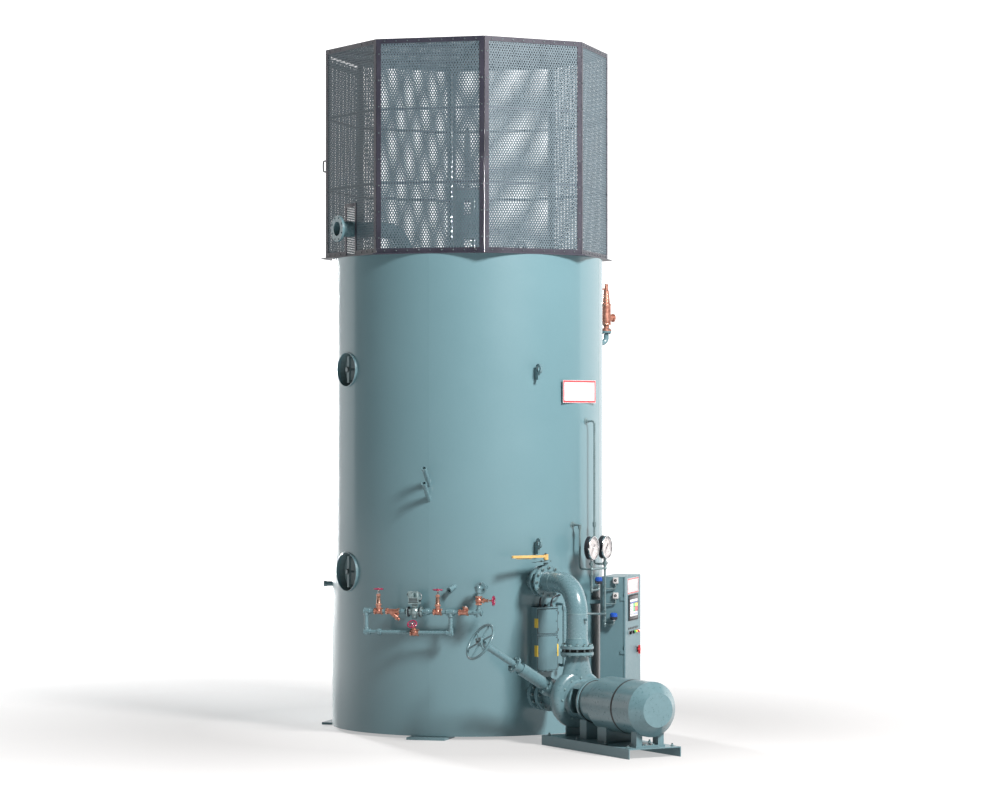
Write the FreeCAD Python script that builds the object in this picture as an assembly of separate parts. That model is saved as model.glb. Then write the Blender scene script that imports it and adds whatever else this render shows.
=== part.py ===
"""Industrial electrode boiler: clad vessel, octagonal mesh cage, pump set, feed train and panel.

Millimetres. The origin is on the vessel's axis at floor level, +Z is up, and the pump skid
runs out along -Y. An angle is measured about Z from the front (-Y), positive towards +X.
"""
import FreeCAD, Part
import math
import os

os.makedirs("parts", exist_ok=True)
Vector = FreeCAD.Vector
UP = Vector(0, 0, 1)

# ---- clearances and common stock ----
seat_gap = 0.3
face_gap = 2.0

# ---- vessel ----
casing_radius = 1473.0
casing_sheet = 6.0
insulation = 95.5
shell_wall = 16.0
foot_height = 25.0
foot_width = 417.0
foot_reach = 130.0
foot_root = 150.0
foot_hole_radius = 14.0
foot_hole_inset = 48.0
skirt_gap = 5.0
casing_height = 5091.0
seam_gap = 3.0
casing_seams = (-135.0, -45.0, 45.0, 135.0)
head_crown_radius = 2743.0
bottom_head_edge = 520.0
top_head_edge = 4600.0
shell_radius = casing_radius - casing_sheet - insulation
casing_bottom = foot_height + skirt_gap

# ---- deck and cage ----
deck_thickness = 10.0
deck_overhang = 125.0
cage_overhang = 77.0
cage_height = 2258.0
frame_leg = 50.0
frame_thickness = 5.0
frame_gap = 3.0
mesh_thickness = 3.0
mesh_inset = 12.0
mid_rail_heights = (725.0, 1499.0)
mid_rail_width = 25.0
roof_beam_width = 60.0
roof_beam_depth = 100.0
roof_rib_width = 26.0
roof_rib_depth = 38.0
roof_rib_spacing = 780.0
roof_beam_angle = -22.5
door_angle = -135.0
door_top_gap = 70.0
door_handle_height = 1003.0
slot_angle = -90.0
slot_width = 190.0
slot_frame_width = 39.0
slot_height = 521.0
deck_level = casing_height + deck_thickness
cage_top = deck_level + cage_height
cage_radius = casing_radius + cage_overhang
half_corner = math.radians(22.5)
cage_inradius = cage_radius * math.cos(half_corner)
cage_half_side = cage_radius * math.sin(half_corner)

# ---- steam outlet, 6 inch ----
steam_pipe_radius = 84.15
steam_bore_radius = 77.0
steam_height = 285.0
steam_bend_radius = 229.0
steam_riser_offset = 780.0
steam_reach = 163.0
steam_flange_radius = 139.7
steam_flange_thickness = 25.4
steam_bolt_circle = 241.3
steam_bolt_hole_radius = 11.1
steam_bolt_count = 8

# ---- electrode ----
turret_base_radius = 273.0
turret_base_height = 70.0
turret_radius = 174.5
turret_wall = 12.0
turret_height = 743.0
turret_window_width = 116.0
turret_windows = ((112.0, 223.0), (474.0, 655.0))
bushing_cap_height = 22.0
bushing_core_radius = 30.0
bushing_shed_radius = 50.0
bushing_shed_pitch = 52.0
bushing_shed_count = 11
bushing_terminal_radius = 16.0
bushing_height = 709.0

# ---- lifting lugs ----
lug_heights = (2020.0, 3850.0)
lug_height = 168.0
lug_reach = 126.0
lug_thickness = 25.0
lug_hole_radius = 30.0
deck_lug_radius = 1168.0
deck_lug_width = 140.0
deck_lug_height = 145.0

# ---- manways on the left side: height, half width, half height ----
manway_angle = -90.0
manway_sizes = ((3884.0, 212.5, 182.5), (1722.0, 232.5, 208.5))
manway_rim = 8.0
manway_wall = 6.0
manway_cover_margin = 14.0
manway_cover_thickness = 26.0
manway_yoke_width = 44.0
manway_yoke_thickness = 26.0

# ---- small nozzles ----
sight_nozzle_heights = (2516.0, 2674.0)
sight_nozzle_radius = 25.0
sight_nozzle_reach = 184.0
sight_nozzle_rise = 170.0
stub_radius = 30.0
safety_height = 4206.0
safety_pipe_radius = 30.0
safety_reach = 304.0
safety_flange_radius = 60.0
safety_flange_height = 133.0
safety_body_height = 201.0
safety_body_length = 233.0
safety_bonnet_length = 150.0
safety_cap_length = 75.0

# ---- sign ----
sign_angle = 24.8
sign_height = 3647.0
sign_width = 618.0
sign_depth = 242.0
sign_thickness = 4.0

# ---- pump set, 8 inch ----
pipe_radius = 109.55
flange_radius = 171.5
flange_thickness = 28.0
pump_axis_height = 476.0
riser_reach = 845.0
bend_radius = 305.0
discharge_height = 1656.0
discharge_nozzle_reach = 157.0
wafer_width = 56.0
wafer_radius = 136.0
joint_bottom = 958.0
joint_height = 34.0
joint_radius = 130.0
suction_nozzle_reach = 115.0
suction_spool_length = 92.0
valve_body_length = 356.0
volute_radius = 304.0
volute_half_width = 80.0
volute_rounding = 66.0
adapter_reach = 1210.0
adapter_radius = 235.0
bracket_radius = 190.0
bracket_wall = 22.0
bracket_window_height = 245.0
motor_nose_radius = 215.0
motor_nose_length = 251.0
motor_radius = 275.0
motor_length = 790.0
motor_cap_length = 114.0
motor_cap_radius = 170.0
motor_groove_offset = 455.0
motor_groove_width = 14.0
motor_groove_depth = 9.0
skid_half_width = 305.0
skid_height = 101.0
skid_thickness = 10.0
skid_back_margin = 200.0
skid_front_margin = 54.0

# ---- butterfly lever ----
neck_radius = 26.0
neck_height = 200.0
neck_plate_half = 48.0
neck_plate_thickness = 10.0
lever_lift = 40.0
lever_length = 393.0
lever_width = 38.0
lever_thickness = 26.0
lever_hub_radius = 26.0

# ---- slanted suction valve and its handwheel ----
stem_tilt = 31.46
wheel_distance = 1150.0
wheel_radius = 213.0
wheel_rim_radius = 15.0
wheel_hub_radius = 42.0
wheel_hub_length = 54.0
wheel_spoke_radius = 9.0
wheel_spokes = 6
sleeve_radius = 35.0
yoke_plate_distance = 667.0
yoke_plate_radius = 87.0
yoke_plate_thickness = 22.0
bonnet_radius = 66.0
bonnet_span = (299.0, 592.0)
collar_radius = 97.0
collar_span = (190.0, 250.0)
valve_body_radius = 142.0

# ---- feed train, 1 1/4 inch ----
train_angle = -45.0
train_standoff = 147.0
train_height = 1342.0
bypass_height = 1124.0
train_pipe_radius = 21.0
train_fitting_radius = 30.0
train_left = -643.0
gate_positions = (-507.0, 139.0)
strainer_position = -351.0
control_position = -111.0
union_position = 26.0
tee_position = 279.0
check_position = 421.0
riser_position = 583.0
bypass_position = -112.0
bypass_union_position = -500.0
gate_half = 45.0
strainer_half = 72.0
control_half = 80.0
check_half = 52.0
stop_height = 1469.0
train_top_height = 1595.0
train_flange_radius = 63.5
train_flange_thickness = 17.0
gate_wheel_height = 232.0
small_wheel_radius = 47.0
small_rim_radius = 7.0
small_hub_radius = 13.0
stem_radius = 6.0
stop_wheel_distance = 160.0
globe_wheel_distance = 134.0
gland_radius = 14.0

# ---- gauges and sensing lines: angle, standoff from the casing ----
line_radius = 11.0
sense_line = (30.0, 106.0)
drain_line = (20.0, 103.0)
gauge_lines = ((20.7, 247.0), (31.3, 213.0))
sense_top = 3333.0
sense_fitting = 2232.0
manifold_height = 1766.0
gauge_line_bottoms = (1522.0, 1142.0)
tap_height = 1350.0
tap_end_height = 1277.0
gauge_height = 1991.0
gauge_radius = 125.0
gauge_depth = 65.0
gauge_facing = 34.0
fitting_radius = 20.0
transmitter_radius = 40.0
transmitter_height = 90.0
switch_size = (53.0, 40.0, 63.0)

# ---- control cabinet ----
cabinet_angle = 45.0
cabinet_standoff = 103.0
cabinet_width = 720.0
cabinet_depth = 251.0
cabinet_top = 1672.0
cabinet_sheet = 4.0
plinth_height = 100.0
plinth_inset = 12.0
door_gap = 5.0
door_thickness = 20.0
door_sheet = 3.0
hinge_offset = 7.0
hinge_radius = 6.0
hinge_length = 40.0
hinge_heights = (280.0, 850.0, 1420.0)
bracket_half_width = 290.0
bracket_height = 40.0
bracket_levels = (420.0, 1380.0)
screen_size = (448.0, 275.0)
screen_height = 1332.0
screen_thickness = 12.0
panel_sign_size = (517.0, 169.0)
panel_sign_height = 1565.0
button_height = 1067.0
button_radius = 15.0
button_spacing = 78.0
button_count = 6
isolator_offset = 190.0
isolator_height = 866.0
isolator_plate = 36.0
isolator_length = 92.0

# ---- junction box below the discharge nozzle ----
box_left = -51.0
box_right = 208.0
box_bottom = 709.0
box_top = 1368.0
box_standoff = 0.3
box_depth = 115.0
box_split = 1090.0
side_pipe_x = 279.0
side_pipe_radius = 16.0
side_pipe_standoff = 117.0
side_pipe_heights = (760.0, 1405.0)


# ---------------------------------------------------------------- helpers
def outward(angle):
    """Unit vector pointing away from the axis at this angle."""
    turn = math.radians(angle)
    return Vector(math.sin(turn), -math.cos(turn), 0)


def sideways(angle):
    """Unit vector along the wall, towards a growing angle."""
    turn = math.radians(angle)
    return Vector(math.cos(turn), math.sin(turn), 0)


def at(angle, side, out, height):
    """A point given by a face angle, a sideways step, a distance out and a height."""
    return sideways(angle) * side + outward(angle) * out + UP * height


def joined(shapes):
    """One solid from shapes that touch or overlap."""
    whole = shapes[0]
    for shape in shapes[1:]:
        whole = whole.fuse(shape)
    return whole


def grouped(shapes):
    """Separate solids of one node."""
    return Part.makeCompound(shapes)


def rod(start, end, radius):
    """Round bar between two points."""
    reach = end - start
    return Part.makeCylinder(radius, reach.Length, start, reach)


def ring(start, end, outer, inner):
    """Round tube between two points."""
    return rod(start, end, outer).cut(rod(start, end, inner))


def taper(start, end, start_radius, end_radius):
    """Cone frustum between two points."""
    reach = end - start
    return Part.makeCone(start_radius, end_radius, reach.Length, start, reach)


def ball(centre, radius):
    """Sphere about a point."""
    return Part.makeSphere(radius, centre)


def prism(angle, outline, bottom, top):
    """Upright prism; the outline is (sideways, out) pairs at a face angle."""
    points = [at(angle, side, out, bottom) for side, out in outline]
    return Part.Face(Part.makePolygon(points + points[:1])).extrude(UP * (top - bottom))


def block(angle, sides, outs, heights):
    """Upright box between pairs of limits."""
    outline = [(sides[0], outs[0]), (sides[1], outs[0]), (sides[1], outs[1]), (sides[0], outs[1])]
    return prism(angle, outline, heights[0], heights[1])


def octagon(inradius, bottom, top):
    """Octagonal prism whose faces look along 0, 45, 90 ... degrees."""
    corner = inradius / math.cos(half_corner)
    points = [at(22.5 + 45.0 * step, 0, corner, bottom) for step in range(8)]
    return Part.Face(Part.makePolygon(points + points[:1])).extrude(UP * (top - bottom))


def disc(centre, normal, radius):
    """Flat round face."""
    return Part.Face(Part.Wire(Part.Circle(centre, normal, radius).toShape()))


def run(points, radius, bend):
    """Round pipe along straight runs with an arc of this centre-line radius at each corner."""
    pieces = []
    start = points[0]
    for before, corner, after in zip(points, points[1:], points[2:]):
        back = (before - corner).normalize()
        ahead = (after - corner).normalize()
        turn = math.pi - back.getAngle(ahead)
        setback = bend * math.tan(turn / 2)
        arc_start = corner + back * setback
        arc_end = corner + ahead * setback
        centre = corner + (back + ahead).normalize() * (bend / math.cos(turn / 2))
        axis = (arc_start - centre).cross(arc_end - centre)
        pieces.append(rod(start, arc_start, radius))
        pieces.append(disc(arc_start, back, radius).revolve(centre, axis, math.degrees(turn)))
        start = arc_end
    pieces.append(rod(start, points[-1], radius))
    return joined(pieces)


def outside_casing(shape):
    """Trim a piece so that it seats on the casing's round face."""
    core = Part.makeCylinder(casing_radius + seat_gap, cage_top)
    return shape.cut(core)


def outside_shell(shape):
    """Trim a piece so that it seats on the pressure shell."""
    core = Part.makeCylinder(shell_radius + seat_gap, cage_top)
    return shape.cut(core)


def wheel(centre, axis, radius, rim, hub, hub_length, spoke, spokes):
    """Spoked handwheel."""
    axis = Vector(axis).normalize()
    across = axis.cross(Vector(0.123, 0.456, 0.881)).normalize()
    turn = FreeCAD.Rotation(axis, 360.0 / spokes)
    pieces = [Part.makeTorus(radius, rim, centre, axis)]
    pieces.append(rod(centre - axis * (hub_length / 2), centre + axis * (hub_length / 2), hub))
    for _ in range(spokes):
        pieces.append(rod(centre, centre + across * radius, spoke))
        across = turn.multVec(across)
    return joined(pieces)


def save(name, shape):
    """Write one node."""
    shape.exportStep("parts/" + name + ".step")


# ---------------------------------------------------------------- vessel
def manway_oval(half_width, half_height, level, inner, outer):
    """Oval bar that runs out through the left side."""
    centre = at(manway_angle, 0, inner, level)
    along = sideways(manway_angle)
    big, small = max(half_width, half_height), min(half_width, half_height)
    major = along if half_width >= half_height else UP
    minor = UP if half_width >= half_height else along
    ellipse = Part.Ellipse(centre + major * big, centre + minor * small, centre)
    return Part.Face(Part.Wire(ellipse.toShape())).extrude(outward(manway_angle) * (outer - inner))


def casing_holes():
    """Bars that clear the casing where nozzles and manways pass through it."""
    inner = shell_radius - 10
    outer = casing_radius + 40
    holes = []
    for level, half_width, half_height in manway_sizes:
        wide = half_width + seat_gap
        tall = half_height + seat_gap
        holes.append(manway_oval(wide, tall, level, inner, outer))
    for level in (discharge_height, pump_axis_height):
        holes.append(rod(at(0, 0, inner, level), at(0, 0, outer, level), pipe_radius + face_gap))
    feed = riser_position
    clear = train_pipe_radius + face_gap
    feed_start = at(train_angle, feed, shell_radius * 0.8, train_top_height)
    holes.append(rod(feed_start, at(train_angle, feed, outer, train_top_height), clear))
    return holes


def casing_quarter(start):
    """A quarter of the cladding: a folded sheet whose flanges reach the shell."""
    top = casing_height
    inner = casing_radius - casing_sheet
    root = shell_radius + seat_gap
    lip = casing_sheet
    outline = [
        (casing_radius, casing_bottom), (casing_radius, top), (root, top), (root, top - lip),
        (inner, top - lip), (inner, casing_bottom + lip), (root, casing_bottom + lip),
        (root, casing_bottom),
    ]
    first = start + math.degrees(seam_gap / 2 / casing_radius)
    sweep = 90.0 - math.degrees(seam_gap / casing_radius)
    points = [at(first, 0, out, level) for out, level in outline]
    sheet = Part.Face(Part.makePolygon(points + points[:1])).revolve(Vector(), UP, sweep)
    for hole in casing_holes():
        sheet = sheet.cut(hole)
    return sheet


def pressure_shell():
    """The pressure vessel's cylinder, standing on the feet."""
    bottom = UP * foot_height
    return ring(bottom, UP * casing_height, shell_radius, shell_radius - shell_wall)


def shell_head(edge, rise_sign):
    """A dished end that fits inside the cylinder."""
    rim = shell_radius - shell_wall - seat_gap
    rise = head_crown_radius - math.sqrt(head_crown_radius ** 2 - rim ** 2)
    centre = UP * (edge + rise_sign * (rise - head_crown_radius))
    outer = ball(centre, head_crown_radius)
    inner = ball(centre, head_crown_radius - shell_wall)
    skin = outer.cut(inner)
    bottom = min(edge, edge + rise_sign * (rise + shell_wall))
    keep = Part.makeCylinder(rim, rise + shell_wall, UP * bottom)
    return skin.common(keep)


def anchor_feet():
    """Four plates under the skirt, each with a hole for an anchor bolt."""
    feet = []
    half = foot_width / 2
    outer = casing_radius + foot_reach
    inner = shell_radius - foot_root
    for angle in casing_seams:
        plate = block(angle, (-half, half), (inner, outer), (0, foot_height))
        hole_at = at(angle, 0, outer - foot_hole_inset, -1)
        hole = rod(hole_at, hole_at + UP * (foot_height + 2), foot_hole_radius)
        feet.append(plate.cut(hole))
    return grouped(feet)


def arch_lug(angle, side, out, bottom):
    """Round-topped lifting eye that stands on the deck."""
    half = deck_lug_width / 2
    centre_height = bottom + deck_lug_height - half
    low = out - lug_thickness / 2
    high = out + lug_thickness / 2
    post = block(angle, (side - half, side + half), (low, high), (bottom, centre_height))
    start = at(angle, side, low, centre_height)
    end = at(angle, side, high, centre_height)
    return joined([post, rod(start, end, half)]).cut(rod(start, end, lug_hole_radius))


def deck_plate():
    """Octagonal top plate that overhangs the casing, with two lifting eyes."""
    inradius = (casing_radius + deck_overhang) * math.cos(half_corner)
    plate = octagon(inradius, casing_height, deck_level)
    lugs = [arch_lug(angle, 0, deck_lug_radius, deck_level) for angle in (0.0, 180.0)]
    return joined([plate] + lugs)


def lifting_lugs():
    """Hooked padeyes on the front of the casing."""
    lugs = []
    half = lug_thickness / 2
    for level in lug_heights:
        low = level - lug_height / 2
        tip = casing_radius + lug_reach
        eye = tip - lug_height * 0.32
        foot = block(0, (-half, half), (casing_radius - 20, eye), (low, level + lug_height * 0.18))
        start = at(0, -half, eye, level + lug_height * 0.18)
        end = at(0, half, eye, level + lug_height * 0.18)
        head = rod(start, end, lug_height * 0.32)
        plate = joined([foot, head]).cut(rod(start, end, lug_hole_radius))
        lugs.append(outside_casing(plate))
    return grouped(lugs)


def manway(level, half_width, half_height):
    """Oval sleeve, cover, yoke and nut of one manway, as two solids."""
    rim = casing_radius + manway_rim
    inner = shell_radius - 80
    sleeve = manway_oval(half_width, half_height, level, inner, rim)
    bore_width = half_width - manway_wall
    bore_height = half_height - manway_wall
    sleeve = sleeve.cut(manway_oval(bore_width, bore_height, level, inner, rim))
    cover_width = bore_width - manway_cover_margin
    cover_height = bore_height - manway_cover_margin
    cover_face = shell_radius + manway_cover_thickness
    cover = manway_oval(cover_width, cover_height, level, inner, cover_face)
    yoke_out = (casing_radius - 38, casing_radius - 38 + manway_yoke_thickness)
    half = manway_yoke_width / 2
    reach = cover_height - 22
    bar = block(manway_angle, (-half, half), yoke_out, (level - reach, level + reach))
    legs = []
    for sign in (-1, 1):
        foot = level + sign * (reach - 14)
        legs.append(block(manway_angle, (-half, half), (shell_radius, yoke_out[1]), (foot - 14, foot + 14)))
    stud = rod(at(manway_angle, 0, shell_radius, level), at(manway_angle, 0, casing_radius + 6, level), 13)
    nut = rod(at(manway_angle, 0, yoke_out[1], level), at(manway_angle, 0, casing_radius + 2, level), 26)
    closure = joined([cover, bar, stud, nut] + legs)
    return [outside_shell(sleeve), outside_shell(closure)]


def manways():
    """Both manways."""
    pieces = []
    for level, half_width, half_height in manway_sizes:
        pieces += manway(level, half_width, half_height)
    return grouped(pieces)


def sight_nozzle(level):
    """Open nozzle that leans up and out."""
    start = at(train_angle, 0, casing_radius - 30, level - 28)
    end = at(train_angle, 0, casing_radius + sight_nozzle_reach, level + sight_nozzle_rise)
    lean = (end - start).normalize()
    pipe = rod(start, end, sight_nozzle_radius)
    lip = rod(end - lean * 26, end, sight_nozzle_radius + 5)
    bore = rod(end - lean * 70, end + lean, sight_nozzle_radius - 6)
    return outside_casing(joined([pipe, lip]).cut(bore))


def side_stub(angle, level, reach, drop, slide):
    """Short plugged coupling on the casing."""
    start = at(angle, 0, casing_radius - 20, level)
    end = at(angle, slide, casing_radius + reach, level - drop)
    lean = (end - start).normalize()
    pipe = rod(start, end, stub_radius * 0.82)
    collar = rod(end - lean * 34, end, stub_radius)
    bore = rod(end - lean * 26, end + lean, stub_radius * 0.62)
    return outside_casing(joined([pipe, collar]).cut(bore))


def safety_pipe():
    """Elbow and flange that carry the safety valve on the right side."""
    out = casing_radius + safety_reach
    start = at(90, 0, casing_radius - 20, safety_height)
    corner = at(90, 0, out, safety_height)
    flange_low = at(90, 0, out, safety_height + safety_flange_height - 20)
    flange_top = at(90, 0, out, safety_height + safety_flange_height)
    pipe = run([start, corner, flange_top], safety_pipe_radius, 62)
    flange = rod(flange_low, flange_top, safety_flange_radius)
    collar = rod(at(90, 0, casing_radius - 20, safety_height), at(90, 0, casing_radius + 22, safety_height), 44)
    return outside_casing(joined([pipe, flange, collar]))


def casing_nozzles():
    """The small nozzles that stand on the casing."""
    pieces = [sight_nozzle(level) for level in sight_nozzle_heights]
    pieces.append(side_stub(-34, 1606, 78, 42, -62))
    pieces.append(side_stub(-118, 1562, 92, 0, 0))
    pieces.append(safety_pipe())
    return grouped(pieces)


def safety_valve():
    """Bronze safety valve: base, body with a side outlet, bonnet, cap and lever."""
    out = casing_radius + safety_reach
    base = safety_height + safety_flange_height
    body = safety_height + safety_body_height
    bonnet = body + safety_body_length
    cap = bonnet + safety_bonnet_length
    top = cap + safety_cap_length
    axis = lambda level: at(90, 0, out, level)
    pieces = [
        rod(axis(base), axis(base + 18), safety_flange_radius),
        rod(axis(base + 18), axis(body), 34),
        rod(axis(body), axis(bonnet), 52),
        taper(axis(bonnet), axis(cap), 44, 30),
        rod(axis(cap), axis(top), 22),
        rod(at(90, 0, out, body + 80), at(90, 0, out + 96, body + 80), 36),
        rod(at(90, 0, out + 78, body + 80), at(90, 0, out + 98, body + 80), 46),
        block(90, (-8, 8), (out - 74, out), (cap + 10, cap + 26)),
    ]
    return joined(pieces)


def casing_sign():
    """Flat sign plate on the casing."""
    back = casing_radius + seat_gap
    half = sign_width / 2
    heights = (sign_height - sign_depth / 2, sign_height + sign_depth / 2)
    return block(sign_angle, (-half, half), (back, back + sign_thickness), heights)


# ---------------------------------------------------------------- cage
def frame_point(from_corner, depth):
    """A post's outer corner: on the face line, clear of the octagon's corner."""
    edge = cage_half_side - frame_gap / math.cos(half_corner)
    return edge - from_corner, cage_inradius - depth


def post_outline():
    """Section of a bent angle whose inner leg runs towards the axis."""
    edge, face = frame_point(0, 0)
    inward = (-math.sin(half_corner), -math.cos(half_corner))
    across = (-math.cos(half_corner), math.sin(half_corner))
    tip = (edge + inward[0] * frame_leg, face + inward[1] * frame_leg)
    tip_inner = (tip[0] + across[0] * frame_thickness, tip[1] + across[1] * frame_thickness)
    start = (edge + across[0] * frame_thickness, face + across[1] * frame_thickness)
    depth = (start[1] - (face - frame_thickness)) / math.cos(half_corner)
    inner = (start[0] + inward[0] * depth, face - frame_thickness)
    leg_end = edge - frame_leg
    return [(edge, face), tip, tip_inner, inner, (leg_end, face - frame_thickness), (leg_end, face)]


def cage_posts():
    """Two bent angles at each corner of the cage."""
    posts = []
    heights = (deck_level + frame_leg, cage_top - frame_leg)
    for step in range(8):
        outline = post_outline()
        mirrored = [(-side, out) for side, out in outline]
        posts.append(prism(45.0 * step, outline, heights[0], heights[1]))
        posts.append(prism(45.0 * step, mirrored, heights[0], heights[1]))
    return grouped(posts)


def rim_ring(leg_bottom, leg_top, shelf_bottom):
    """Octagonal angle ring, cut at its corners into eight rails."""
    face = cage_inradius
    leg = octagon(face, leg_bottom, leg_top).cut(octagon(face - frame_thickness, leg_bottom, leg_top))
    shelf_top = shelf_bottom + frame_thickness
    shelf = octagon(face, shelf_bottom, shelf_top).cut(octagon(face - frame_leg, shelf_bottom, shelf_top))
    rails = joined([leg, shelf])
    for step in range(4):
        slit = block(22.5 + 45.0 * step, (-frame_gap, frame_gap), (-2 * face, 2 * face), (leg_bottom - 1, leg_top + 1))
        rails = rails.cut(slit)
    return rails


def slot_block(margin, outs):
    """Space of the steam pipe's slot above the deck, widened by a margin."""
    half = slot_width / 2 + margin
    return block(slot_angle, (-half, half), outs, (deck_level, deck_level + slot_height + margin))


def mid_rail(angle, level):
    """Flat bar across the back of one mesh panel."""
    half = frame_point(mesh_inset, 0)[0]
    back = cage_inradius - frame_thickness - mesh_thickness
    return block(angle, (-half, half), (back - frame_thickness, back), (level, level + mid_rail_width))


def cage_rails():
    """Bottom and top rims and the two lines of flat bars between them."""
    bottom = rim_ring(deck_level, deck_level + frame_leg, deck_level)
    slot_outs = (cage_inradius - 2 * frame_leg, cage_inradius + frame_leg)
    bottom = bottom.cut(slot_block(slot_frame_width, slot_outs))
    top = rim_ring(cage_top - frame_leg, cage_top, cage_top - frame_thickness)
    pieces = list(bottom.Solids) + list(top.Solids)
    for level in mid_rail_heights:
        for step in range(8):
            pieces.append(mid_rail(45.0 * step, deck_level + level))
    return grouped(pieces)


def mesh_sheet(angle, top_gap):
    """Mesh panel between the rims, as a plain sheet."""
    half = frame_point(mesh_inset, 0)[0]
    face = cage_inradius - frame_thickness
    heights = (deck_level + frame_thickness, cage_top - frame_thickness - mesh_thickness - 1 - top_gap)
    return block(angle, (-half, half), (face - mesh_thickness, face), heights)


def cage_panels():
    """The six plain panels."""
    angles = [45.0 * step - 180.0 for step in range(8)]
    plain = [angle for angle in angles if angle not in (slot_angle, door_angle)]
    return grouped([mesh_sheet(angle, 0) for angle in plain])


def slotted_panel():
    """Left panel with the framed slot for the steam pipe."""
    face = cage_inradius - frame_thickness
    sheet = mesh_sheet(slot_angle, 0)
    frame = slot_block(slot_frame_width, (face, face + frame_thickness))
    opening = slot_block(0, (face - frame_leg, face + frame_leg))
    return joined([sheet, frame]).cut(opening)


def cage_door():
    """Back left panel: a hinged mesh door that stops short of the rim, with its handle."""
    sheet = mesh_sheet(door_angle, door_top_gap)
    face = cage_inradius - frame_thickness
    half = frame_point(frame_leg + 4, 0)[0]
    top = cage_top - frame_leg - door_top_gap
    bottom = deck_level + frame_leg + 4
    outer = block(door_angle, (-half, half), (face, face + frame_thickness), (bottom, top))
    inset = half - 40
    inner = block(door_angle, (-inset, inset), (face, face + frame_thickness), (bottom + 40, top - 40))
    level = deck_level + door_handle_height
    side = inset + 20
    handle_out = face + frame_thickness
    ends = [at(door_angle, side, handle_out, level + rise) for rise in (-60, 60)]
    tips = [end + outward(door_angle) * 52 for end in ends]
    handle = run([ends[0], tips[0], tips[1], ends[1]], 8, 18)
    return joined([sheet, outer.cut(inner), handle])


def roof_beam():
    """Main beam from corner to corner under the roof mesh."""
    top = cage_top - frame_thickness - mesh_thickness
    end = cage_radius - frame_gap * math.tan(half_corner) - frame_leg
    half = roof_beam_width / 2
    return block(roof_beam_angle, (-half, half), (-end, end), (top - roof_beam_depth, top))


def roof_ribs():
    """Cross ribs on both sides of the main beam."""
    top = cage_top - frame_thickness - mesh_thickness
    inside = octagon(cage_inradius - frame_thickness - mesh_thickness, top - roof_rib_depth, top)
    half = roof_rib_width / 2
    near = roof_beam_width / 2
    ribs = []
    for step in (-1, 0, 1):
        out = step * roof_rib_spacing
        for sides in ((-cage_radius, -near), (near, cage_radius)):
            bar = block(roof_beam_angle, sides, (out - half, out + half), (top - roof_rib_depth, top))
            ribs.append(bar.common(inside))
    return grouped(ribs)


def roof_mesh():
    """Mesh roof, as a plain sheet under the rim's shelf."""
    top = cage_top - frame_thickness
    return octagon(cage_inradius - frame_thickness - seat_gap, top - mesh_thickness, top)


# ---------------------------------------------------------------- on the deck
def steam_outlet():
    """Steam pipe: riser, long bend and a flanged end outside the cage."""
    level = deck_level + steam_height
    end_out = cage_inradius + steam_reach
    foot = at(slot_angle, 0, steam_riser_offset, deck_level)
    corner = at(slot_angle, 0, steam_riser_offset, level)
    end = at(slot_angle, 0, end_out, level)
    flange_back = at(slot_angle, 0, end_out - steam_flange_thickness, level)
    outer = run([foot, corner, end], steam_pipe_radius, steam_bend_radius)
    bore = run([foot + UP * 20, corner, end + outward(slot_angle)], steam_bore_radius, steam_bend_radius)
    flange = rod(flange_back, end, steam_flange_radius)
    base = rod(foot, foot + UP * 14, steam_flange_radius)
    pipe = joined([outer, flange, base]).cut(bore)
    for step in range(steam_bolt_count):
        turn = math.radians((step + 0.5) * 360.0 / steam_bolt_count)
        side = math.cos(turn) * steam_bolt_circle / 2
        rise = math.sin(turn) * steam_bolt_circle / 2
        start = at(slot_angle, side, end_out - 2 * steam_flange_thickness, level + rise)
        hole = rod(start, start + outward(slot_angle) * 3 * steam_flange_thickness, steam_bolt_hole_radius)
        pipe = pipe.cut(hole)
    return pipe


def electrode_turret():
    """Round housing under the electrode bushing, with see-through windows."""
    base = rod(UP * deck_level, UP * (deck_level + turret_base_height), turret_base_radius)
    top = deck_level + turret_height
    tube = rod(UP * deck_level, UP * top, turret_radius)
    hollow = rod(UP * (deck_level + turret_base_height), UP * (top - turret_wall), turret_radius - turret_wall)
    turret = joined([base, tube]).cut(hollow)
    half = turret_window_width / 2
    for low, high in turret_windows:
        for angle in (roof_beam_angle, roof_beam_angle + 90.0):
            span = (-2 * turret_radius, 2 * turret_radius)
            turret = turret.cut(block(angle, (-half, half), span, (deck_level + low, deck_level + high)))
    return turret


def electrode_bushing():
    """Insulator with sheds and a top terminal."""
    start = deck_level + turret_height
    cap_top = start + bushing_cap_height
    top = start + bushing_height
    core_top = cap_top + bushing_shed_pitch * (bushing_shed_count + 0.6)
    pieces = [rod(UP * start, UP * cap_top, turret_radius), rod(UP * cap_top, UP * core_top, bushing_core_radius)]
    for step in range(bushing_shed_count):
        low = cap_top + bushing_shed_pitch * (step + 0.5)
        pieces.append(taper(UP * low, UP * (low + 20), bushing_shed_radius, bushing_core_radius))
    pieces.append(rod(UP * core_top, UP * (top - 40), bushing_terminal_radius))
    pieces.append(rod(UP * (top - 60), UP * (top - 40), bushing_core_radius))
    pieces.append(rod(UP * (top - 40), UP * top, bushing_terminal_radius * 0.7))
    return joined(pieces)


# ---------------------------------------------------------------- pump set
def flange(out, level, radius=flange_radius):
    """Upright flange whose near face is this far out on the front."""
    return rod(at(0, 0, out, level), at(0, 0, out + flange_thickness, level), radius)


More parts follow.
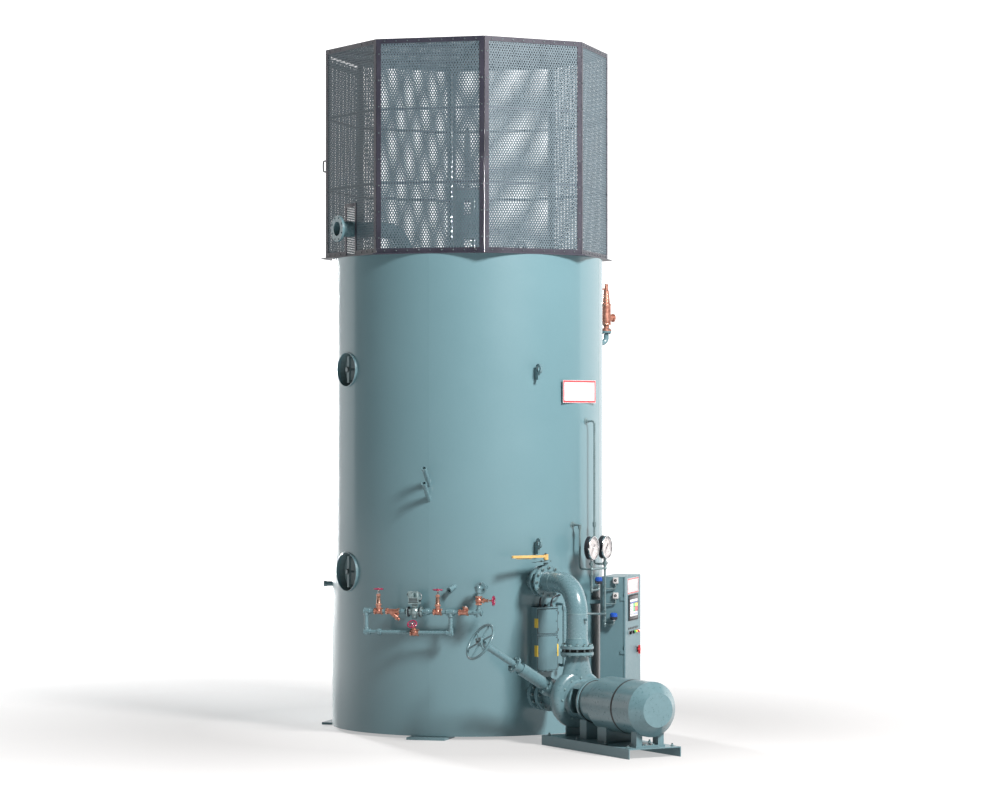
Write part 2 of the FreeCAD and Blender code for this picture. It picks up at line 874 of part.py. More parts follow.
riser_out = casing_radius + riser_reach
discharge_flange_out = casing_radius + discharge_nozzle_reach
wafer_out = discharge_flange_out + flange_thickness + face_gap
elbow_flange_out = wafer_out + wafer_width + face_gap
suction_flange_out = casing_radius + suction_nozzle_reach
spool_flange_out = suction_flange_out + flange_thickness + face_gap
valve_inlet_out = spool_flange_out + 2 * flange_thickness + suction_spool_length + face_gap
valve_outlet_out = valve_inlet_out + flange_thickness + valve_body_length
pump_flange_out = valve_outlet_out + flange_thickness + face_gap
valve_centre = at(0, 0, casing_radius + 560, pump_axis_height)
stem_direction = Vector(-math.cos(math.radians(stem_tilt)), 0, math.sin(math.radians(stem_tilt)))
adapter_out = casing_radius + adapter_reach
motor_nose_out = adapter_out + flange_thickness
motor_out = motor_nose_out + motor_nose_length
motor_end_out = motor_out + motor_length
motor_cap_out = motor_end_out + motor_cap_length
volute_back = riser_out - volute_half_width
volute_front = riser_out + volute_half_width
skid_top = skid_height


def pump_nozzles():
    """The vessel's two flanged nozzles."""
    pieces = []
    for out, level in ((discharge_flange_out, discharge_height), (suction_flange_out, pump_axis_height)):
        pipe = rod(at(0, 0, shell_radius - 60, level), at(0, 0, out + flange_thickness, level), pipe_radius)
        face = rod(at(0, 0, out, level), at(0, 0, out + flange_thickness + face_gap, level), wafer_radius)
        pieces.append(outside_shell(joined([pipe, flange(out, level), face])))
    return grouped(pieces)


def discharge_pipe():
    """Riser, long bend and flanges between the pump and the butterfly valve."""
    level = joint_bottom + joint_height
    foot = at(0, 0, riser_out, level)
    corner = at(0, 0, riser_out, discharge_height)
    end = at(0, 0, elbow_flange_out, discharge_height)
    pipe = run([foot, corner, end], pipe_radius, bend_radius)
    low_flange = rod(foot, foot + UP * flange_thickness, flange_radius)
    hub = taper(foot + UP * flange_thickness, foot + UP * 107, pipe_radius + 16, pipe_radius)
    tap_start = at(0, pipe_radius * 0.2, riser_out + pipe_radius * 0.9, 1296)
    tap_end = at(0, pipe_radius * 0.35, riser_out + pipe_radius + 36, 1296)
    tap = rod(tap_start, tap_end, 13)
    raised = rod(at(0, 0, elbow_flange_out - face_gap, discharge_height), end, wafer_radius)
    return joined([pipe, low_flange, hub, flange(elbow_flange_out, discharge_height), tap, raised])


def flexible_joint():
    """Dark spacer between the pump's flange and the riser's flange."""
    foot = at(0, 0, riser_out, joint_bottom)
    return rod(foot, foot + UP * joint_height, joint_radius)


def butterfly_valve():
    """Wafer body, neck and notched top plate."""
    centre = wafer_out + wafer_width / 2
    body = rod(at(0, 0, wafer_out, discharge_height), at(0, 0, wafer_out + wafer_width, discharge_height), wafer_radius)
    neck_top = discharge_height + neck_height
    neck = rod(at(0, 0, centre, discharge_height), at(0, 0, centre, neck_top), neck_radius)
    plate_top = neck_top + neck_plate_thickness
    square = (-neck_plate_half, neck_plate_half)
    depth = (centre - neck_plate_half, centre + neck_plate_half)
    plate = block(0, square, depth, (neck_top, plate_top))
    quadrant = block(0, (-3 * neck_plate_half, 0), depth, (neck_top, plate_top - 4))
    boss = rod(at(0, 0, centre, plate_top), at(0, 0, centre, plate_top + 16), 18)
    return joined([body, neck, plate, quadrant, boss])


def valve_lever():
    """Yellow lever bar with its hub."""
    centre = wafer_out + wafer_width / 2
    hub_bottom = discharge_height + neck_height + neck_plate_thickness + 16 + seat_gap
    bar_bottom = discharge_height + neck_height + neck_plate_thickness + lever_lift
    bar_top = bar_bottom + lever_thickness
    hub = rod(at(0, 0, centre, hub_bottom), at(0, 0, centre, bar_top + 8), lever_hub_radius)
    half = lever_width / 2
    bar = block(0, (-lever_length, 0), (centre - half, centre + half), (bar_bottom, bar_top))
    grip_start = at(0, -lever_length, centre, (bar_bottom + bar_top) / 2)
    tip = rod(grip_start - UP * (lever_thickness / 2), grip_start + UP * (lever_thickness / 2), half)
    return joined([hub, bar, tip])


def suction_spool():
    """Short flanged pipe between the vessel's nozzle and the valve."""
    level = pump_axis_height
    end = spool_flange_out + 2 * flange_thickness + suction_spool_length
    pipe = rod(at(0, 0, spool_flange_out, level), at(0, 0, end, level), pipe_radius)
    return joined([pipe, flange(spool_flange_out, level), flange(end - flange_thickness, level)])


def along_stem(distance):
    """Point on the slanted valve's stem."""
    return valve_centre + stem_direction * distance


def suction_valve():
    """Flanged valve with its bonnet, yoke plate and stem sleeve leaning to the left."""
    level = pump_axis_height
    inlet = at(0, 0, valve_inlet_out - face_gap, level)
    outlet = at(0, 0, valve_outlet_out + flange_thickness + face_gap, level)
    hub_gap = wheel_hub_length / 2 + seat_gap
    pieces = [
        rod(inlet, outlet, pipe_radius),
        flange(valve_inlet_out, level),
        flange(valve_outlet_out, level),
        ball(valve_centre, valve_body_radius),
        rod(along_stem(0), along_stem(collar_span[0]), bonnet_radius + 14),
        rod(along_stem(collar_span[0]), along_stem(collar_span[1]), collar_radius),
        rod(along_stem(collar_span[1]), along_stem(bonnet_span[0]), bonnet_radius - 8),
        rod(along_stem(bonnet_span[0]), along_stem(bonnet_span[1]), bonnet_radius),
        rod(along_stem(bonnet_span[1]), along_stem(yoke_plate_distance), bonnet_radius - 20),
        rod(along_stem(yoke_plate_distance), along_stem(yoke_plate_distance + yoke_plate_thickness), yoke_plate_radius),
        rod(along_stem(yoke_plate_distance), along_stem(wheel_distance - hub_gap), sleeve_radius),
    ]
    return joined(pieces)


def suction_handwheel():
    """Large spoked wheel on the slanted stem."""
    centre = along_stem(wheel_distance)
    rim = wheel(centre, stem_direction, wheel_radius - wheel_rim_radius, wheel_rim_radius,
                wheel_hub_radius, wheel_hub_length, wheel_spoke_radius, wheel_spokes)
    nut = rod(along_stem(wheel_distance), along_stem(wheel_distance + wheel_hub_length), 16)
    return joined([rim, nut])


def pump_volute():
    """Volute casing with its discharge neck, suction neck and flanges."""
    level = pump_axis_height
    body = rod(at(0, 0, volute_back, level), at(0, 0, volute_front, level), volute_radius)
    body = body.makeFillet(volute_rounding, body.Edges[:3])
    flange_bottom = joint_bottom - flange_thickness
    throat = Part.Ellipse(at(0, 205, riser_out, level + 150), at(0, 0, riser_out + 72, level + 150),
                          at(0, 0, riser_out, level + 150))
    mouth = Part.Circle(at(0, 0, riser_out, flange_bottom), UP, pipe_radius)
    neck = Part.makeLoft([Part.Wire(throat.toShape()), Part.Wire(mouth.toShape())], True)
    top = rod(at(0, 0, riser_out, flange_bottom), at(0, 0, riser_out, joint_bottom), flange_radius)
    inlet = rod(at(0, 0, pump_flange_out, level), at(0, 0, volute_back + 30, level), pipe_radius)
    dome = taper(at(0, 0, volute_front - 20, level), at(0, 0, volute_front + 46, level), 225, 165)
    return joined([body, neck, top, inlet, flange(pump_flange_out, level), dome])


def pump_bracket():
    """Lantern between the volute and the motor, with two side windows and its end flange."""
    level = pump_axis_height
    start = at(0, 0, volute_front + 46, level)
    end = at(0, 0, adapter_out, level)
    barrel = ring(start, end, bracket_radius, bracket_radius - bracket_wall)
    half = bracket_window_height / 2
    window_outs = (volute_front + 80, adapter_out - 38)
    window = block(0, (-adapter_radius, adapter_radius), window_outs, (level - half, level + half))
    plate = flange(adapter_out, level, adapter_radius)
    shaft = rod(start, end, 34)
    return joined([barrel.cut(window), plate, shaft])


def pump_motor():
    """Motor: nose, barrel with a groove and a bevelled end cap."""
    level = pump_axis_height
    point = lambda out: at(0, 0, out, level)
    nose = rod(point(motor_nose_out), point(motor_out), motor_nose_radius)
    barrel = rod(point(motor_out), point(motor_end_out), motor_radius)
    cap = taper(point(motor_end_out), point(motor_cap_out), motor_radius, motor_cap_radius)
    groove_out = motor_out + motor_groove_offset
    groove = ring(point(groove_out), point(groove_out + motor_groove_width), motor_radius + 5,
                  motor_radius - motor_groove_depth)
    return joined([nose, barrel, cap]).cut(groove)


def pedestal(half_width, outs, clear_radius):
    """Box on the skid, trimmed to the round body that it carries."""
    level = pump_axis_height
    support = block(0, (-half_width, half_width), outs, (skid_top, level - clear_radius * 0.72))
    body = rod(at(0, 0, outs[0] - 10, level), at(0, 0, outs[1] + 10, level), clear_radius + seat_gap)
    return support.cut(body)


def pump_skid():
    """Inverted channel with the pedestals welded on it."""
    back = riser_out - skid_back_margin
    front = motor_cap_out - skid_front_margin
    outer = block(0, (-skid_half_width, skid_half_width), (back, front), (0, skid_height))
    inside = skid_half_width - skid_thickness
    channel = outer.cut(block(0, (-inside, inside), (back - 1, front + 1), (-1, skid_height - skid_thickness)))
    pieces = [channel]
    pieces.append(pedestal(130, (volute_back + volute_rounding, volute_front - volute_rounding), volute_radius))
    pieces.append(pedestal(150, (adapter_out - 60, motor_nose_out + 40), adapter_radius))
    pieces.append(pedestal(160, (motor_out + 20, motor_out + 190), motor_radius))
    foot_out = motor_end_out - 140
    pieces.append(block(0, (-170, 170), (foot_out, foot_out + 120), (skid_top, skid_top + 18)))
    for sign in (-1, 1):
        leg = pedestal(160, (foot_out + 10, foot_out + 110), motor_radius)
        keep = block(0, sorted((sign * 92, sign * 162)), (foot_out, foot_out + 120), (skid_top, pump_axis_height))
        pieces.append(leg.common(keep))
    return joined(pieces)


# ---------------------------------------------------------------- feed train
train_out = casing_radius + train_standoff


def train(side, level):
    """Point on the feed train's plane."""
    return at(train_angle, side, train_out, level)


def line(start, end):
    """Straight piece of feed pipe."""
    return rod(start, end, train_pipe_radius)


def sleeve(side, level, half):
    """Thicker coupling on a level stretch of the feed pipe."""
    step = sideways(train_angle) * half
    centre = train(side, level)
    return rod(centre - step, centre + step, train_fitting_radius)


def upright_sleeve(side, level, half):
    """Thicker coupling on an upright stretch of the feed pipe."""
    centre = train(side, level)
    return rod(centre - UP * half, centre + UP * half, train_fitting_radius - 2)


def feed_pipes():
    """All the feed pipe between the valves, with elbows, tees and the nozzle on the vessel."""
    main, low = train_height, bypass_height
    end = at(train_angle, riser_position, shell_radius * 0.8, train_top_height)
    left = [
        line(train(gate_positions[0] - gate_half, main), train(train_left, main)),
        line(train(train_left, main), train(train_left, low)),
        line(train(train_left, low), train(bypass_position - gate_half, low)),
        sleeve(train_left + 12, main, 36),
        upright_sleeve(train_left, main - 12, 36),
        sleeve(train_left + 12, low, 36),
        upright_sleeve(train_left, low + 12, 36),
        sleeve(bypass_union_position, low, 22),
    ]
    right = [
        line(train(bypass_position + gate_half, low), train(tee_position, low)),
        line(train(tee_position, low), train(tee_position, main)),
        line(train(gate_positions[1] + gate_half, main), train(check_position - check_half, main)),
        sleeve(tee_position - 12, low, 36),
        upright_sleeve(tee_position, low + 12, 36),
        sleeve(tee_position, main, 42),
        upright_sleeve(tee_position, main - 18, 32),
    ]
    short = [line(train(gate_positions[0] + gate_half, main), train(strainer_position - strainer_half, main))]
    middle = [line(train(strainer_position + strainer_half, main), train(control_position - control_half, main))]
    middle.append(sleeve((strainer_position + strainer_half + control_position - control_half) / 2, main, 24))
    union = [
        line(train(control_position + control_half, main), train(gate_positions[1] - gate_half, main)),
        sleeve(union_position, main, 26),
    ]
    cross = [
        line(train(check_position + check_half, main), train(riser_position, main)),
        line(train(riser_position, main), train(riser_position, stop_height - gate_half)),
        sleeve(riser_position - 6, main, 44),
        upright_sleeve(riser_position, main, 46),
    ]
    top = [
        line(train(riser_position, stop_height + gate_half), train(riser_position, train_top_height)),
        line(train(riser_position, train_top_height), end),
        upright_sleeve(riser_position, train_top_height - 10, 36),
        ball(train(riser_position, train_top_height), train_fitting_radius + 3),
        nozzle_flange(60),
        nozzle_flange(60 + train_flange_thickness + face_gap),
        rod(at(train_angle, riser_position, train_out - 100, train_top_height),
            at(train_angle, riser_position, train_out - 190, train_top_height), train_pipe_radius + 6),
    ]
    solids = [joined(piece) if len(piece) > 1 else piece[0] for piece in (left, right, short, middle, union, cross)]
    return grouped(solids + [outside_shell(joined(top))])


def nozzle_flange(back):
    """Small flange on the pipe that turns in to the vessel."""
    start = at(train_angle, riser_position, train_out - back, train_top_height)
    end = at(train_angle, riser_position, train_out - back - train_flange_thickness, train_top_height)
    return rod(start, end, train_flange_radius)


def gate_valve(side):
    """Bronze gate valve with a tall bonnet."""
    level = train_height
    centre = train(side, level)
    half = sideways(train_angle) * gate_half
    hub_bottom = level + gate_wheel_height - 9 - seat_gap
    pieces = [
        rod(centre - half, centre + half, train_fitting_radius - 3),
        rod(centre - half, centre - half * 0.62, train_fitting_radius + 4),
        rod(centre + half * 0.62, centre + half, train_fitting_radius + 4),
        ball(centre, train_fitting_radius + 3),
        rod(centre, centre + UP * 62, 25),
        rod(centre + UP * 62, centre + UP * 74, 32),
        taper(centre + UP * 74, centre + UP * 160, 23, 17),
        rod(centre + UP * 160, centre + UP * 182, 21),
        rod(centre + UP * 182, UP * hub_bottom + centre - UP * level, gland_radius - 4),
    ]
    return joined(pieces)


def gate_valves():
    """Both gate valves of the main line."""
    return grouped([gate_valve(side) for side in gate_positions])


def small_wheel(centre, axis):
    """Small spoked handwheel with its stem nut."""
    axis = Vector(axis).normalize()
    rim = wheel(centre, axis, small_wheel_radius, small_rim_radius, small_hub_radius, 18, 4.5, 5)
    return joined([rim, rod(centre, centre + axis * 16, stem_radius)])


def strainer():
    """Bronze strainer with its leg pointing down."""
    centre = train(strainer_position, train_height)
    half = sideways(train_angle) * strainer_half
    leg = (sideways(train_angle) * 0.76 - UP * 0.65).normalize()
    pieces = [
        rod(centre - half, centre + half, train_fitting_radius - 4),
        rod(centre - half, centre - half * 0.7, train_fitting_radius + 2),
        rod(centre + half * 0.7, centre + half, train_fitting_radius + 2),
        rod(centre - half * 0.4, centre - half * 0.4 + leg * 108, 24),
        rod(centre - half * 0.4 + leg * 108, centre - half * 0.4 + leg * 136, 17),
    ]
    return joined(pieces)


def control_valve():
    """Flanged control valve body with its actuator head above."""
    centre = train(control_position, train_height)
    half = sideways(train_angle) * control_half
    out = train_out
    side = control_position
    level = train_height
    pieces = [
        rod(centre - half, centre + half, train_fitting_radius + 4),
        rod(centre - half, centre - half * 0.74, 54),
        rod(centre + half * 0.74, centre + half, 54),
        ball(centre, 50),
        rod(centre - UP * 58, centre, 30),
        rod(centre, centre + UP * 88, 22),
        rod(centre + UP * 56, centre + UP * 66, 40),
        block(train_angle, (side - 56, side + 52), (out - 52, out + 52), (level + 80, level + 150)),
        block(train_angle, (side - 64, side - 6), (out - 44, out + 44), (level + 150, level + 212)),
        rod(centre + sideways(train_angle) * 26 + UP * 150, centre + sideways(train_angle) * 26 + UP * 196, 24),
    ]
    return joined(pieces)


def globe_body(centre, flow, stem, gland_end):
    """Bronze globe valve body with a bonnet along its stem."""
    half = flow * gate_half
    pieces = [
        rod(centre - half, centre + half, train_fitting_radius - 3),
        rod(centre - half, centre - half * 0.62, train_fitting_radius + 4),
        rod(centre + half * 0.62, centre + half, train_fitting_radius + 4),
        ball(centre, train_fitting_radius + 6),
        rod(centre, centre + stem * 54, 22),
        rod(centre + stem * 46, centre + stem * 60, 29),
        rod(centre + stem * 60, centre + stem * 92, 17),
        rod(centre + stem * 92, centre + stem * gland_end, gland_radius - 4),
    ]
    return joined(pieces)


bypass_stem = (outward(train_angle) + UP).normalize()


def bypass_valve():
    """Globe valve on the bypass, leaning up and out."""
    gland_end = globe_wheel_distance - 9 - seat_gap
    return globe_body(train(bypass_position, bypass_height), sideways(train_angle), bypass_stem, gland_end)


def stop_valve():
    """Globe valve on the riser, with its stem to the right."""
    gland_end = stop_wheel_distance - 9 - seat_gap
    return globe_body(train(riser_position, stop_height), UP, sideways(train_angle), gland_end)


def check_valve():
    """Bronze swing check valve with a slanted cap."""
    centre = train(check_position, train_height)
    half = sideways(train_angle) * check_half
    cap = (UP * 0.94 + sideways(train_angle) * 0.34).normalize()
    pieces = [
        rod(centre - half, centre + half, train_fitting_radius - 2),
        rod(centre - half, centre - half * 0.66, train_fitting_radius + 3),
        rod(centre + half * 0.66, centre + half, train_fitting_radius + 3),
        rod(centre, centre + cap * 52, 24),
        rod(centre + cap * 44, centre + cap * 58, 31),
    ]
    return joined(pieces)


# ---------------------------------------------------------------- gauges and sensing lines
def post_point(place, level):
    """Point on an upright line given by its angle and standoff."""
    return at(place[0], 0, casing_radius + place[1], level)


def transmitter_places():
    """Foot points of the two transmitters."""
    first = at(26.0, 0, casing_radius + 225, 1592)
    second = at(cabinet_angle, -425, casing_radius + 267, 1206)
    return (first, second)


def cabinet_side(out_step, level):
    """Point on the near side face of the cabinet."""
    return at(cabinet_angle, -cabinet_width / 2, casing_radius + cabinet_standoff + out_step, level)


switch_out = 175.0
switch_levels = ((1635.0, 1546.0), (1474.0, 1385.0))


def gauge_piping():
    """The sensing lines, their fittings and the manifold that feeds the gauges."""
    sense_foot = at(sense_line[0], 0, casing_radius - 20, sense_top)
    second_line = [post_point(gauge_lines[1], level) for level in (gauge_height - gauge_radius + 4, gauge_line_bottoms[1])]
    first_line = [post_point(gauge_lines[0], level) for level in (gauge_height - gauge_radius + 4, gauge_line_bottoms[0])]
    top = post_point(sense_line, sense_top)
    cross = post_point(sense_line, manifold_height + 45)
    merge = post_point(gauge_lines[1], manifold_height + 45)
    drain_foot = at(drain_line[0], 0, casing_radius - 20, sense_fitting)
    drain_top = post_point(drain_line, sense_fitting)
    drain_bottom = post_point(drain_line, manifold_height)
    first_joint = post_point(gauge_lines[0], manifold_height)
    second_joint = post_point(gauge_lines[1], manifold_height)
    tap_start = at(0, pipe_radius - 20, riser_out, tap_height)
    tap_end = post_point(gauge_lines[1], tap_end_height)
    places = transmitter_places()
    first_foot = post_point(gauge_lines[0], places[0].z - 48)
    second_foot = post_point(gauge_lines[1], places[1].z - 40)
    pieces = [
        run([sense_foot, top, cross, merge], line_radius, 34),
        run([drain_foot, drain_top, drain_bottom, first_joint], line_radius, 34),
        rod(first_joint, second_joint, line_radius),
        rod(first_line[0], first_line[1], line_radius),
        rod(second_line[0], second_line[1], line_radius),
        run([first_foot, places[0] - UP * 48, places[0]], line_radius, 24),
        run([second_foot, places[1] - UP * 40, places[1]], line_radius, 24),
        rod(post_point(sense_line, sense_fitting - 26), post_point(sense_line, sense_fitting + 26), fitting_radius),
        rod(post_point(drain_line, sense_fitting - 44), post_point(drain_line, sense_fitting - 8), fitting_radius),
        ball(first_joint, fitting_radius),
        ball(second_joint, fitting_radius),
        ball(merge, fitting_radius),
        ball(tap_end, fitting_radius),
        ball(first_foot, fitting_radius - 2),
        ball(second_foot, fitting_radius - 2),
        rod(first_line[0] - UP * 70, first_line[0] - UP * 30, fitting_radius),
        rod(second_line[0] - UP * 70, second_line[0] - UP * 30, fitting_radius),
    ]
    for centre_level, tube_level in switch_levels:
        box_foot = cabinet_side(switch_out, centre_level - switch_size[2] / 2) - sideways(cabinet_angle) * (switch_size[1] / 2)
        corner = Vector(box_foot.x, box_foot.y, tube_level)
        pieces.append(run([post_point(gauge_lines[1], tube_level), corner, box_foot], line_radius * 0.7, 18))
    tubes = outside_casing(joined(pieces))
    pipe = rod(at(0, 0, riser_out, tap_height - 200), at(0, 0, riser_out, tap_height + 200), pipe_radius + seat_gap)
    tap = rod(tap_start, tap_end, line_radius).cut(pipe)
    return joined([tubes, tap])


def pressure_gauges():
    """Two round dial gauges on top of their lines."""
    gauges = []
    for place in gauge_lines:
        centre = post_point(place, gauge_height)
        facing = outward(gauge_facing)
        back = centre - facing * (gauge_depth / 2)
        front = centre + facing * (gauge_depth / 2)
        case = rod(back, front, gauge_radius - 6)
        bezel = rod(front - facing * 20, front, gauge_radius)
        flange_ring = rod(back, back + facing * 8, gauge_radius)
        socket_top = centre - UP * (gauge_radius - 16)
        socket = rod(socket_top - UP * 24, socket_top, 15)
        pieces = joined([case, bezel, flange_ring, socket])
        tube = rod(centre - UP * 200, centre - UP * (gauge_radius - 4 - seat_gap), line_radius + seat_gap)
        gauges.append(pieces.cut(tube))
    return grouped(gauges)


def pressure_sensors():
    """Two round transmitters and two small pressure switches."""
    pieces = []
    for foot in transmitter_places():
        low = foot + UP * 12
        body = rod(low, low + UP * (transmitter_height - 12), transmitter_radius)
        rims = body.Edges
        body = body.makeFillet(9, [edge for edge in rims if edge.Closed])
        pieces.append(joined([rod(foot, low, 18), body]))
    wide, deep, tall = switch_size
    for centre_level, _ in switch_levels:
        out = casing_radius + cabinet_standoff + switch_out
        side = -cabinet_width / 2 - seat_gap
        pieces.append(block(cabinet_angle, (side - deep, side), (out - wide / 2, out + wide / 2),
                            (centre_level - tall / 2, centre_level + tall / 2)))
    return grouped(pieces)


# ---------------------------------------------------------------- control cabinet
cabinet_back = casing_radius + cabinet_standoff
cabinet_front = cabinet_back + cabinet_depth
door_back = cabinet_front + door_gap
door_face = door_back + door_thickness
cabinet_half = cabinet_width / 2
hinge_side = -cabinet_half - hinge_offset
hinge_out = (door_back + door_face) / 2


def cabinet_plinth():
    """Plinth that stands on the floor under the cabinet."""
    half = cabinet_half - plinth_inset
    outs = (casing_radius + foot_reach + face_gap, cabinet_front - plinth_inset)
    return block(cabinet_angle, (-half, half), outs, (0, plinth_height))


def knuckle(level, leaf_out):
    """Hinge knuckle with the leaf that ties it to its panel."""
    barrel = rod(at(cabinet_angle, hinge_side, hinge_out, level),
                 at(cabinet_angle, hinge_side, hinge_out, level + hinge_length), hinge_radius)
    leaf = block(cabinet_angle, (hinge_side - 2, -cabinet_half), leaf_out, (level, level + hinge_length))
    return [barrel, leaf]


def cabinet_body():
    """Folded sheet box, open at the front, with its half of each hinge."""
    low, high = plinth_height, cabinet_top
    sheet = cabinet_sheet
    outer = block(cabinet_angle, (-cabinet_half, cabinet_half), (cabinet_back, cabinet_front), (low, high))
    inside = cabinet_half - sheet
    hollow = block(cabinet_angle, (-inside, inside), (cabinet_back + sheet, cabinet_front + 1), (low + sheet, high - sheet))
    pieces = [outer.cut(hollow)]
    half = bracket_half_width
    for level in bracket_levels:
        rail = block(cabinet_angle, (-half, half), (casing_radius * 0.9, cabinet_back), (level, level + bracket_height))
        pieces.append(outside_casing(rail))
    for level in hinge_heights:
        pieces += knuckle(level, (cabinet_front - 30, hinge_out))
        pieces.append(block(cabinet_angle, (-cabinet_half - hinge_offset - 2, -cabinet_half),
                            (cabinet_front - 30, cabinet_front), (level, level + hinge_length)))
    return joined(pieces)


def cabinet_door():
    """Pan-shaped door with the upper half of each hinge."""
    low, high = plinth_height, cabinet_top
    outer = block(cabinet_angle, (-cabinet_half, cabinet_half), (door_back, door_face), (low, high))
    inside = cabinet_half - 2 * door_sheet
    pocket = block(cabinet_angle, (-inside, inside), (door_back - 1, door_face - door_sheet), (low + 6, high - 6))
    pieces = [outer.cut(pocket)]
    for level in hinge_heights:
        pieces += knuckle(level + hinge_length + 0.5, (hinge_out - 3, hinge_out + 3))
    return joined(pieces)


def door_controls():
    """Screen, sign plate, knobs and lamps on the door."""
    wide, tall = screen_size
    front = door_face
    pieces = [block(cabinet_angle, (-wide / 2, wide / 2), (front, front + screen_thickness),
                    (screen_height - tall / 2, screen_height + tall / 2))]
    wide, tall = panel_sign_size
    pieces.append(block(cabinet_angle, (-wide / 2, wide / 2), (front, front + 3),
                        (panel_sign_height - tall / 2, panel_sign_height + tall / 2)))
    for step in range(button_count):
        side = (step - (button_count - 1) / 2) * button_spacing
        start = at(cabinet_angle, side, front, button_height)
        pieces.append(joined([
            rod(start, start + outward(cabinet_angle) * 8, button_radius + 6),
            rod(start, start + outward(cabinet_angle) * 26, button_radius),
        ]))
    half = isolator_plate
    plate = block(cabinet_angle, (isolator_offset - half, isolator_offset + half), (front, front + 5),
                  (isolator_height - half, isolator_height + half))
    pieces.append(plate)
    return grouped(pieces)


def isolator_handle():
    """Rotary isolator handle in front of its plate."""
    start = at(cabinet_angle, isolator_offset, door_face + 5 + seat_gap, isolator_height)
    hub = rod(start, start + outward(cabinet_angle) * 34, 19)
    half = isolator_length / 2
    outs = (door_face + 16, door_face + 39)
    grip = block(cabinet_angle, (isolator_offset - 9, isolator_offset + 9), outs,
                 (isolator_height - half, isolator_height + half))
    return joined([hub, grip])


# ---------------------------------------------------------------- junction box
def junction_box():
    """Two-part box on the casing under the discharge nozzle."""
    back = casing_radius + box_standoff
    front = back + box_depth
    low = block(0, (box_left, box_right), (back, front), (box_bottom, box_split - 3))
    neck = block(0, (box_left + 8, box_right - 8), (back, front - 8), (box_bottom + 4, box_top - 4))
    high = block(0, (box_left, box_right), (back, front), (box_split + 3, box_top))
    ledge = block(0, (box_left - 6, box_right + 6), (back, front + 14), (box_top, box_top + 12))
    return joined([low, neck, high, ledge])


def side_pipe():
    """Small pipe beside the junction box, turned in to the casing at both ends."""
    out = casing_radius + side_pipe_standoff
    low, high = side_pipe_heights
    points = [
        at(0, side_pipe_x, casing_radius - 60, low), at(0, side_pipe_x, out, low),
        at(0, side_pipe_x, out, high), at(0, side_pipe_x, casing_radius - 60, high),
    ]
    valve = rod(at(0, side_pipe_x, out, high - 60), at(0, side_pipe_x, out, high - 20), side_pipe_radius + 9)
    return outside_casing(joined([run(points, side_pipe_radius, 34), valve]))


# ---------------------------------------------------------------- write the nodes
for quarter, seam in zip(("left", "front", "right", "back"), casing_seams):
    save("casing_" + quarter, casing_quarter(seam))
save("pressure_shell", pressure_shell())
save("shell_heads", grouped([shell_head(bottom_head_edge, -1), shell_head(top_head_edge, 1)]))
save("anchor_feet", anchor_feet())
save("deck_plate", deck_plate())
save("lifting_lugs", lifting_lugs())
save("manways", manways())
save("casing_nozzles", casing_nozzles())
save("safety_valve", safety_valve())
save("casing_sign", casing_sign())

save("cage_posts", cage_posts())
save("cage_rails", cage_rails())
save("cage_panels", cage_panels())
save("slotted_panel", slotted_panel())
save("cage_door", cage_door())
save("roof_beam", roof_beam())
save("roof_ribs", roof_ribs())
save("roof_mesh", roof_mesh())

save("steam_outlet", steam_outlet())
save("electrode_turret", electrode_turret())
save("electrode_bushing", electrode_bushing())

save("pump_nozzles", pump_nozzles())
save("discharge_pipe", discharge_pipe())
save("flexible_joint", flexible_joint())
save("butterfly_valve", butterfly_valve())
save("valve_lever", valve_lever())
save("suction_spool", suction_spool())
save("suction_valve", suction_valve())
save("suction_handwheel", suction_handwheel())
save("pump_volute", pump_volute())
save("pump_bracket", pump_bracket())
save("pump_motor", pump_motor())
save("pump_skid", pump_skid())

save("feed_pipes", feed_pipes())
save("gate_valves", gate_valves())
for side_name, side in zip(("left", "right"), gate_positions):
    save("gate_wheel_" + side_name, small_wheel(train(side, train_height + gate_wheel_height), UP))
save("strainer", strainer())
save("control_valve", control_valve())
save("bypass_valve", bypass_valve())
bypass_wheel_centre = train(bypass_position, bypass_height) + bypass_stem * globe_wheel_distance
save("bypass_wheel", small_wheel(bypass_wheel_centre, bypass_stem))
save("check_valve", check_valve())
save("stop_valve", stop_valve())
stop_wheel_centre = train(riser_position + stop_wheel_distance, stop_height)
save("stop_wheel", small_wheel(stop_wheel_centre, sideways(train_angle)))

save("gauge_piping", gauge_piping())
save("pressure_gauges", pressure_gauges())
save("pressure_sensors", pressure_sensors())
save("cabinet_plinth", cabinet_plinth())
save("cabinet_body", cabinet_body())
save("cabinet_door", cabinet_door())
save("door_controls", door_controls())
save("isolator_handle", isolator_handle())
save("junction_box", junction_box())
save("side_pipe", side_pipe())
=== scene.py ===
"""Finishes and fittings of the industrial electrode boiler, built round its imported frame.

Metres. The vessel's axis is the Z axis, the floor is Z 0 and the pump skid runs out along -Y.
An angle is measured about Z from the front (-Y), positive towards +X.
"""
import math
import random

import bmesh
import bpy
from mathutils import Matrix, Vector


